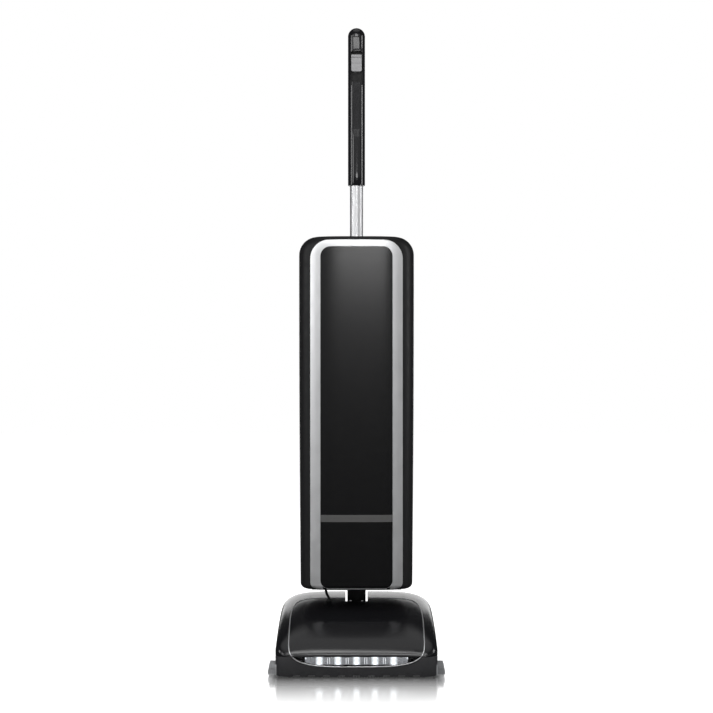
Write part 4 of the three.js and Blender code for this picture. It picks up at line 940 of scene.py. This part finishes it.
# ---- door
def tray_room():
    """A cutter that leaves room for the rear tray."""
    return block(ACROSS, (HINGE.y, FAR), (0, TRAY_TOP + GAP))


def hinge_corner():
    """A cutter that rounds the door's lower front corner about its hinge."""
    return cut(block(ACROSS, (-FAR, HINGE.y), (0, HINGE.z)), rod(0, HINGE_LINE, HINGE.radius, *ACROSS))


def ear_room():
    """Cutters that leave room for the ears and the hinge rod."""
    reach = EAR.half + GAP
    y = (HINGE.y - EAR.radius - GAP, HINGE.y + 3 * HINGE.radius)
    z = (0, HINGE.z + HINGE.radius + 1)
    gaps = [block((side * EAR.x - reach, side * EAR.x + reach), y, z) for side in (-1, 1)]
    return [*gaps, rod(0, HINGE_LINE, HINGE.pin + GAP, -HINGE.rod - GAP, HINGE.rod + GAP, 20)]


def stripe_slice(grow):
    return block(ACROSS, (-FAR, 0), (STRIPE.low - grow, STRIPE.high + grow))


def make_door():
    """The door's moulding, with the band, the panel and the stripe let into its front."""
    outer = housing_body(0)
    seam = block(ACROSS, (HOUSING.seam - GAP / 2, FAR), UPWARD)
    shell = cut(copy_of(outer), housing_body(WALL), seam, tray_room(), hinge_corner())
    barrel = cut(rod(0, HINGE_LINE, HINGE.radius - 0.9, -HINGE.barrel, HINGE.barrel), tray_room())
    recess = face_layer(band_edge(BAND, GAP), BAND.thickness + GAP)
    body = cut(join(shell, barrel), *ear_room(), recess)
    show(body, "door_moulding", "door", "satin_black", "door_shell", edge=0.3)

    skin = cut(face_layer(copy_of(outer), BAND.thickness), hinge_corner(), tray_room(), *ear_room())
    band = cut(common(copy_of(skin), band_edge(BAND, 0)), band_edge(PANEL, GAP))
    show(band, "door_silver_band", "door", "silver", "door_band", edge=0.3)
    pocket = face_layer(stripe_slice(GAP), STRIPE.thickness + 2 * GAP)
    panel = cut(common(skin, band_edge(PANEL, 0)), pocket)
    show(panel, "door_front_panel", "door", "panel_black", "door_panel", edge=0.25)
    stripe = common(face_layer(outer, STRIPE.thickness), band_edge(PANEL, 0), stripe_slice(0))
    show(stripe, "door_grey_stripe", "door", "stripe_grey", "door_stripe")


# ---- handle
def make_tube():
    low, high = box_of("handle_tube")
    outside, inside = TUBE.radius, TUBE.radius - TUBE.wall
    profile = [(outside, low.z), (outside, high.z), (inside, high.z), (inside, low.z)]
    tube = lathe(2, (0, TUBE.y), profile, 64, closed=True)
    show(tube, "handle_tube_chromed", "upright", "aluminium", "handle_tube", edge=0.3)


def make_grip():
    """The grip's spine: a domed bar with a flat front, a brow at its top and a well for the switch."""
    radius, bottom, top = GRIP.radius, GRIP.bottom, GRIP.top
    front = TUBE.y - radius
    start = bottom + 1.4
    profile = [(radius - 1.2, bottom), (radius - 0.35, bottom + 0.35), (radius, start)]
    profile += [(radius, start + (top - radius - start) * k / 12) for k in range(1, 12)]
    profile += dome(radius, top - radius, radius, 16)
    x, floor = SWITCH.half_width, front + SWITCH.floor
    tools = [prism(1, rounded((-x, x), (SWITCH.low, SWITCH.high), (6, 3)), front - 5, floor)]
    for outline in (GRIP_FLAT, GRIP_BROW):
        tools.append(prism(0, [(front + y, z) for y, z in outline], -20, 20))
    tools.append(rod(2, (0, TUBE.y), TUBE.radius + GAP, bottom - 5, TUBE.socket_top, 64))
    spine = cut(lathe(2, (0, TUBE.y), profile, 64), *tools)
    show(spine, "handle_grip_spine", "upright", "grip_black", "handle_spine", edge=0.5)
    paint_well(spine, front + SWITCH.rim, floor)


def paint_well(spine, front, floor):
    """Gives the walls and floor of the switch's well a matt black finish."""
    spine.data.materials.append(LOOKS["rubber_black"])
    for face in spine.data.polygons:
        x, y, z = face.center / MM
        inside = abs(x) < SWITCH.half_width + 0.5 and SWITCH.low - 1 < z < SWITCH.high + 1
        if inside and front < y < floor + 0.5:
            face.material_index = 1


def make_loop():
    """The loop behind the grip, cut where the spine fills it."""
    y, top = TUBE.y, GRIP.top
    route = [(0, y + back, top + up) for back, up in LOOP]
    reach = GRIP.radius + GAP
    start = top - GRIP.radius
    spine = lathe(2, (0, y), [(reach, GRIP.bottom - 21), (reach, start), *dome(reach, start, reach, 12)], 64)
    loop = cut(loft(tube_rings(smooth_path(route), LOOP_RADIUS, 40)), spine)
    show(loop, "handle_loop_grip", "upright", "satin_black", "handle_loop", edge=0.6)


def make_slider():
    """The speed slider's button: a lip along the top, then two shallow grooves."""
    a, b = box_of("speed_slider")
    height, depth = SLIDER.lip
    half = SLIDER.stem_half
    button = prism(1, rounded((a.x, b.x), (a.z, b.z), (3, 1.5)), a.y + SLIDER.plate, b.y - SLIDER.stem)
    lip = prism(1, rounded((a.x, b.x), (b.z - height, b.z), 1.4), a.y, a.y + depth)
    stem = block((-half, half), (a.y + 5, b.y), (b.z - 20, b.z - 14))
    heights = [b.z - below for below in SLIDER.grooves]
    grooves = [block((-20, 20), (a.y - 1, a.y + 1.5), (z, z + SLIDER.groove)) for z in heights]
    slider = cut(join(button, lip, stem), *grooves)
    show(slider, "speed_slider_button", "speed_switch", "grey_plastic", "speed_slider", edge=0.35)


def make_cord_inlet():
    """A sleeve with a collar and ridges that narrow towards its end."""
    a, b, centre, radius = round_of("cord_inlet", 1, 2)
    bore, ridge = INLET.bore, INLET.ridge
    profile = [(bore, a.y), (radius - 0.6, a.y), (radius, a.y + 0.6)]
    profile += [(radius, a.y + 3.4), (radius - 0.6, a.y + 4)]
    for k in range(INLET.ridges):
        start = a.y + 4.6 + k * INLET.pitch
        outer = radius - 1.4 - 1.6 * k / INLET.ridges
        profile += [(outer - ridge, start), (outer, start + 0.4)]
        profile += [(outer, start + 1.6), (outer - ridge, start + 2)]
    profile += [(bore + 1.1, b.y), (bore, b.y)]
    inlet = lathe(1, centre, profile, 40, closed=True)
    show(inlet, "cord_inlet_sleeve", "upright", "rubber_black", "cord_inlet")


def make_hooks():
    """Two cord hooks: a post and a flat arm, dished where the cord lies."""
    for node, body, up in (("cord_hook_upper", "upper_hook", 1), ("cord_hook_lower", "upright", -1)):
        a, b = box_of(node)
        half = (b.x - a.x) / 2
        root = a.z + half if up > 0 else b.z - half
        arm = prism(1, rounded((a.x, b.x), (a.z, b.z), half - 0.5, 12), b.y - HOOK.thickness, b.y)
        post = rod(1, (0, root), half, a.y, b.y - HOOK.thickness / 2)
        centre = (b.y + HOOK.dish_y, (a.z + b.z) / 2 + up * HOOK.dish_off)
        dish = rod(0, centre, HOOK.dish, -20, 20, 64)
        show(cut(join(arm, post), dish), f"{node}_moulding", body, "satin_black", node, edge=0.8)


# ---- wheels and rollers
def make_wheel(side):
    """A rear wheel with grooves round its tyre and a dished outer face."""
    a, b, centre, radius = round_of(f"rear_wheel_{side}", 0, 2)
    width = b.x - a.x
    bore, groove, dish = WHEEL.bore, WHEEL.groove, width - WHEEL.dish
    profile = [(bore, 0), (radius - 7, 0), (radius - 7, 1.5), (radius - 6, 1.5), (radius - 3, 0)]
    profile += [(radius - 1, 1), (radius, 3)]
    for share in WHEEL.grooves:
        x = width * share
        profile += [(radius, x - 0.9), (radius - groove, x - 0.5)]
        profile += [(radius - groove, x + 0.5), (radius, x + 0.9)]
    profile += [(radius, width - 3), (radius - 1, width - 1), (radius - 3, width)]
    profile += [(radius - 6, width - 1.5), (radius - 6.5, dish), (WHEEL.hub, dish)]
    profile += [(WHEEL.hub - 1, width), (bore, width)]
    start, way = (b.x, -1) if side == "left" else (a.x, 1)
    wheel = lathe(0, centre, [(r, start + way * x) for r, x in profile], 96, closed=True)
    show(wheel, f"rear_wheel_{side}_tyre", f"wheel_{side}", "rubber_black", f"rear_wheel_{side}")


def make_roller(side):
    """A front roller with its pins."""
    a, b, centre, radius = round_of(f"front_roller_{side}", 0, 2)
    pin, edge = ROLLER.pin, ROLLER.edge
    low, high = a.x + ROLLER.pin_length, b.x - ROLLER.pin_length
    profile = [(pin, a.x), (pin, low), (radius - edge, low), (radius, low + edge), (radius, high - edge)]
    profile += [(radius - edge, high), (pin, high), (pin, b.x)]
    roller = lathe(0, centre, profile, 64)
    show(roller, f"front_roller_{side}_tyre", f"roller_{side}", "grey_plastic", f"front_roller_{side}")


# ---- brushes
def hair(points, faces, foot, tip, width):
    """Adds one bristle, a thin three-sided spike."""
    direction = (tip - foot).normalized()
    across = direction.orthogonal().normalized() * width
    beside = direction.cross(across)
    start = len(points)
    for end, size in ((foot, 1.0), (tip, 0.7)):
        for k in range(3):
            turn = 2 * pi * k / 3
            points.append(end + size * (across * cos(turn) + beside * sin(turn)))
    for k in range(3):
        j = (k + 1) % 3
        faces.append((start + k, start + j, start + 3 + j, start + 3 + k))
    faces.append((start + 2, start + 1, start))
    faces.append((start + 3, start + 4, start + 5))


def jitter(seed, amount):
    """A repeatable offset for a bristle."""
    return noise.noise_vector(Vector((seed * 0.731, seed * 1.37, 4.2))) * amount


def edge_hairs(a, b, root, reach, side):
    """Tufts in two tiers from the root out to the reach, the upper tier a little shorter."""
    points, faces = [], []
    tufts, levels, margin = EDGE_TUFTS.count, EDGE_TUFTS.levels, EDGE_TUFTS.margin
    split, apart = EDGE_TIERS.split, EDGE_TIERS.apart
    tiers = ((a.z + 0.4, split - apart, 0), (split + apart, b.z - 0.4, EDGE_TIERS.shorter))
    count = 0
    for low, high, shorter in tiers:
        for t in range(tufts):
            y = a.y + margin + (b.y - a.y - 2 * margin) * t / (tufts - 1)
            for level in range(levels):
                z = low + (high - low) * (level + 0.5) / levels
                for _ in range(EDGE_TUFTS.strands):
                    count += 1
                    spread = jitter(count, EDGE_TUFTS.spread)
                    foot = Vector((root, y + spread.y * 0.6, z + spread.z * 0.6))
                    x = reach - side * (shorter + abs(spread.x))
                    tip = Vector((x, y + spread.y * 1.6, z + spread.z * 1.3))
                    tip.y = min(max(tip.y, a.y + GAP), b.y - GAP)
                    tip.z = min(max(tip.z, a.z + GAP), b.z - GAP)
                    hair(points, faces, foot, tip, EDGE_TUFTS.width)
    return piece_of(points, faces)


def make_edge_brushes():
    """Straight bristles that stand out from each side of the base, on a strip inside the bumper."""
    for name, side in (("left", -1), ("right", 1)):
        a, b = box_of(f"edge_brush_{name}")
        root = (BASE.half_width - BUMPER.thickness + GAP) * side
        reach = (a.x if side < 0 else b.x) - side * 0.2
        strip = block(sorted((root, root + side * 4)), (a.y, b.y), (a.z + 0.2, b.z))
        brush = merged(edge_hairs(a, b, root, reach, side), strip)
        show(brush, f"edge_brush_{name}_bristles", "base", "bristle", f"edge_brush_{name}")


def make_roll_bristles():
    """Tufts set in a helix along the brush roll, one row opposite the other."""
    tufts = ROLL_TUFTS.count
    length = ROLL.bristle - ROLL.core - GAP
    for side in (0, 1):
        a, b = box_of(f"bristle_row_{side + 1}")
        points, faces = [], []
        count = 1000 * side
        for t in range(tufts):
            share = (t + 0.5) / tufts
            turn = pi * (share * ROLL_TUFTS.twist + side)
            out = Vector((0, cos(turn), sin(turn)))
            foot = Vector((a.x + (b.x - a.x) * share, ROLL.y, ROLL.z)) + out * ROLL.core
            for _ in range(ROLL_TUFTS.strands):
                count += 1
                spread = jitter(count, ROLL_TUFTS.spread)
                spread -= spread.dot(out) * out
                tip = foot + out * length + spread * 1.4
                hair(points, faces, foot + spread * 0.6, tip, ROLL_TUFTS.width)
        hairs = piece_of(points, faces)
        show(hairs, f"bristle_row_{side + 1}_tufts", "brush_roll", "bristle", f"bristle_row_{side + 1}")


# ---- dust bag and filters
def make_bag():
    """A creased paper bag, pinched along its top and bottom, held by its collar."""
    a, b = box_of("dust_bag")
    middle = (a + b) / 2
    half = (b - a) / 2
    rows, around, power = BAG.rows, BAG.around, BAG.power
    rings = []
    for k in range(rows + 1):
        level = 2 * k / rows - 1
        z = middle.z + half.z * level
        pinch = (1 - abs(level) ** 6) ** 0.5
        width = half.x * (BAG.waist + (1 - BAG.waist) * (1 - level**4))
        ring = []
        for i in range(around):
            turn = turn_of(i / around, power)
            x, y = on_super(turn, power, width, half.y * max(0.06, pinch))
            x, y = middle.x + x, middle.y + y * BAG.flat
            fold = noise.fractal(Vector((x * 0.012, y * 0.02, z * 0.016)), 0.8, 2.1, 3)
            crease = abs(noise.noise(Vector((x * 0.03 + 7, y * 0.03, z * 0.012)))) ** 0.5
            press = 3.0 * fold - 2.2 * crease
            out = Vector((cos(turn), sin(turn), 0))
            ring.append(Vector((x, y, z)) + out * min(1.0, press * max(0.1, pinch)))
        rings.append(ring)
    bag = loft(rings)
    show(bag, "dust_bag_paper", "upright", "paper", "dust_bag", angle=60)


def make_filters():
    """Foam pads with pleats across them."""
    steps = FILTER.pleats * FILTER.steps
    for side in ("left", "right"):
        a, b = box_of(f"exhaust_filter_{side}")
        rings = []
        for k in range(steps + 1):
            z = a.z + (b.z - a.z) * k / steps
            wave = FILTER.depth * (1 + cos(2 * pi * k / FILTER.steps))
            outline = rounded((a.x, b.x), (a.y + 0.1 + wave, b.y - 0.1), 1.0, 3)
            rings.append([(x, y, z) for x, y in outline])
        name = f"exhaust_filter_{side}"
        show(loft(rings), f"{name}_foam", "upright", "pad", name, angle=50)


# ---- small fittings
def make_neck_screw(node):
    """A flat screw head with a cross slot."""
    a, b, centre, radius = round_of(node, 1, 0)
    x, z = centre
    shank, head = SCREW.shank, a.y + SCREW.head
    profile = [(shank, b.y), (shank, head), (radius, head), (radius, a.y + 0.8), (radius * 0.7, a.y + 0.15)]
    profile += [(0.2, a.y)]
    cross = []
    for i, k in (SCREW.slot, SCREW.slot[::-1]):
        cross.append(prism(1, rounded((x - i, x + i), (z - k, z + k), 0.2, 2), a.y - 1, a.y + SCREW.depth))
    show(cut(lathe(1, centre, profile, 32), *cross), f"{node}_head", "upright", "chrome", node)


def make_tube_bolt(node):
    """A round bolt head with a hexagon socket."""
    a, b, centre, radius = round_of(node, 1, 0)
    shank = BOLT.shank
    profile = [(shank, a.y), (shank, b.y - 2.3), (radius, b.y - 2.3), (radius, b.y - 1)]
    profile += [(radius * 0.8, b.y - 0.2), (radius * 0.5, b.y)]
    socket = rod(1, centre, BOLT.hexagon, b.y - BOLT.depth, b.y + 3, 6)
    show(cut(lathe(1, centre, profile, 32), socket), f"{node}_head", "upright", "steel", node)


def make_grommet():
    """The ring that the jumper cable passes through in the hood."""
    a, b, centre, radius = round_of("cable_grommet", 2, 0)
    profile = [(3.6, a.z), (radius - 0.4, a.z), (radius, a.z + 0.5), (radius, b.z - 1.2)]
    profile += [(radius - 0.9, b.z - 0.2), (3.9, b.z), (3.6, b.z - 0.5)]
    ring = lathe(2, centre, profile, 40, closed=True)
    show(ring, "cable_grommet_ring", "base", "rubber_black", "cable_grommet")


# ---- floor and light
def make_floor():
    """A white floor that mirrors what stands on it, less and less in front and hardly beside it."""
    finish = Finish("floor_white", (0.8, 0.8, 0.8), 0.6, specular=0.0)
    finish.gloss(finish.noise(400, 2), 0.1)
    finish.set("Emission Color", (1, 1, 1, 1))
    finish.set("Emission Strength", FLOOR.glow)
    half_size = (BASE.half_width * MM, BASE.half_depth * MM, 0)

    def past_edge(facing, stretch):
        """How far a place lies past the base's sides and its front or rear edge, stretched."""
        sideways = finish.vector("MULTIPLY", finish.vector("ABSOLUTE", finish.place), (1, 0, 0))
        place = finish.vector("ADD", sideways, finish.vector("MULTIPLY", finish.place, (0, facing, 0)))
        return finish.vector("MULTIPLY", finish.vector("SUBTRACT", place, half_size), stretch)

    fade = FLOOR.side_fade
    past = finish.vector("MAXIMUM", past_edge(-1, (fade, 1, 1)), past_edge(1, (fade, fade, 1)))
    distance = finish.vector("LENGTH", finish.vector("MAXIMUM", past, (0, 0, 0)))
    share = finish.range(distance, FLOOR.mirror, 0.0, 0.0, FLOOR.fades_within)
    mirror = finish.node("ShaderNodeBsdfGlossy", {"Roughness": FLOOR.roughness}).outputs["BSDF"]
    mix = finish.node("ShaderNodeMixShader", {"Fac": share, 1: finish.shader.outputs["BSDF"], 2: mirror})
    finish.feed(finish.tree.nodes["Material Output"].inputs["Surface"], mix.outputs["Shader"])

    half = FLOOR.half
    floor = piece_of([(-half, -half, 0), (half, -half, 0), (half, half, 0), (-half, half, 0)], [(0, 1, 2, 3)])
    floor.name = "floor"
    floor.data.materials.append(LOOKS["floor_white"])
    floor.visible_glossy = False


def make_world():
    """What reflections see: a wall of light in front from about the camera's height up, and a bright ceiling.
    The camera itself sees white."""
    world = bpy.data.worlds.new("studio")
    bpy.context.scene.world = world
    world.use_nodes = True
    world.node_tree.nodes.clear()
    sky = Nodes(world.node_tree)
    place = sky.node("ShaderNodeTexCoord", {}).outputs["Generated"]
    split = sky.node("ShaderNodeSeparateXYZ", {"Vector": place})
    depth, height = split.outputs["Y"], split.outputs["Z"]

    def ramp(value, start, end, low, high):
        return sky.range(value, low, high, start, end, "SMOOTHSTEP")

    front = sky.maths("MULTIPLY", ramp(depth, -0.7, -0.45, 1.0, 0.0), ramp(height, -0.12, 0.14, 0.0, 0.6))
    walls = sky.maths("MULTIPLY", front, ramp(height, 0.35, 0.7, 1.0, 0.1))
    light = sky.maths("ADD", walls, ramp(height, 0.82, 0.95, 0.04, 0.95))
    seen = sky.node("ShaderNodeBackground", {"Color": (1, 1, 1, 1)}).outputs["Background"]
    shine = sky.node("ShaderNodeBackground", {"Strength": light}).outputs["Background"]
    camera = sky.node("ShaderNodeLightPath", {}).outputs["Is Camera Ray"]
    mix = sky.node("ShaderNodeMixShader", {"Fac": camera, 1: shine, 2: seen})
    sky.node("ShaderNodeOutputWorld", {"Surface": mix.outputs["Shader"]})


def make_lights():
    """Softboxes of a given brightness, out of the camera's sight; their power follows from their size."""
    for name, (place, target, size, radiance, mirrored, matt) in LIGHTS.items():
        data = bpy.data.lights.new(name, "AREA")
        data.shape = "RECTANGLE"
        data.size, data.size_y = size
        data.energy = radiance * pi * size[0] * size[1]
        light = bpy.data.objects.new(name, data)
        light.location = place
        light.rotation_euler = (Vector(target) - Vector(place)).to_track_quat("-Z", "Y").to_euler()
        light.visible_camera = False
        light.visible_glossy = mirrored
        light.visible_diffuse = matt
        bpy.context.scene.collection.objects.link(light)
    bpy.context.scene.view_settings.view_transform = "Standard"


# ---- build
for leftover in [o for o in bpy.data.objects if o.type in {"LIGHT", "CAMERA"} or o.name == "Cube"]:
    bpy.data.objects.remove(leftover)
make_camera()
make_plastics()
make_metals()
make_soft_materials()
make_light_materials()
make_cable()
make_hood()
make_trim()
make_bumper()
make_lens()
make_light()
make_housing_back()
make_door()
make_tube()
make_grip()
make_loop()
make_slider()
make_cord_inlet()
make_hooks()
for wheel_side in ("left", "right"):
    make_wheel(wheel_side)
    make_roller(wheel_side)
make_edge_brushes()
make_roll_bristles()
make_bag()
make_filters()
for screw_node in ("neck_screw_left", "neck_screw_right"):
    make_neck_screw(screw_node)
for bolt_node in ("tube_bolt_1", "tube_bolt_2"):
    make_tube_bolt(bolt_node)
make_grommet()
carry_nodes()
make_floor()
make_world()
make_lights()
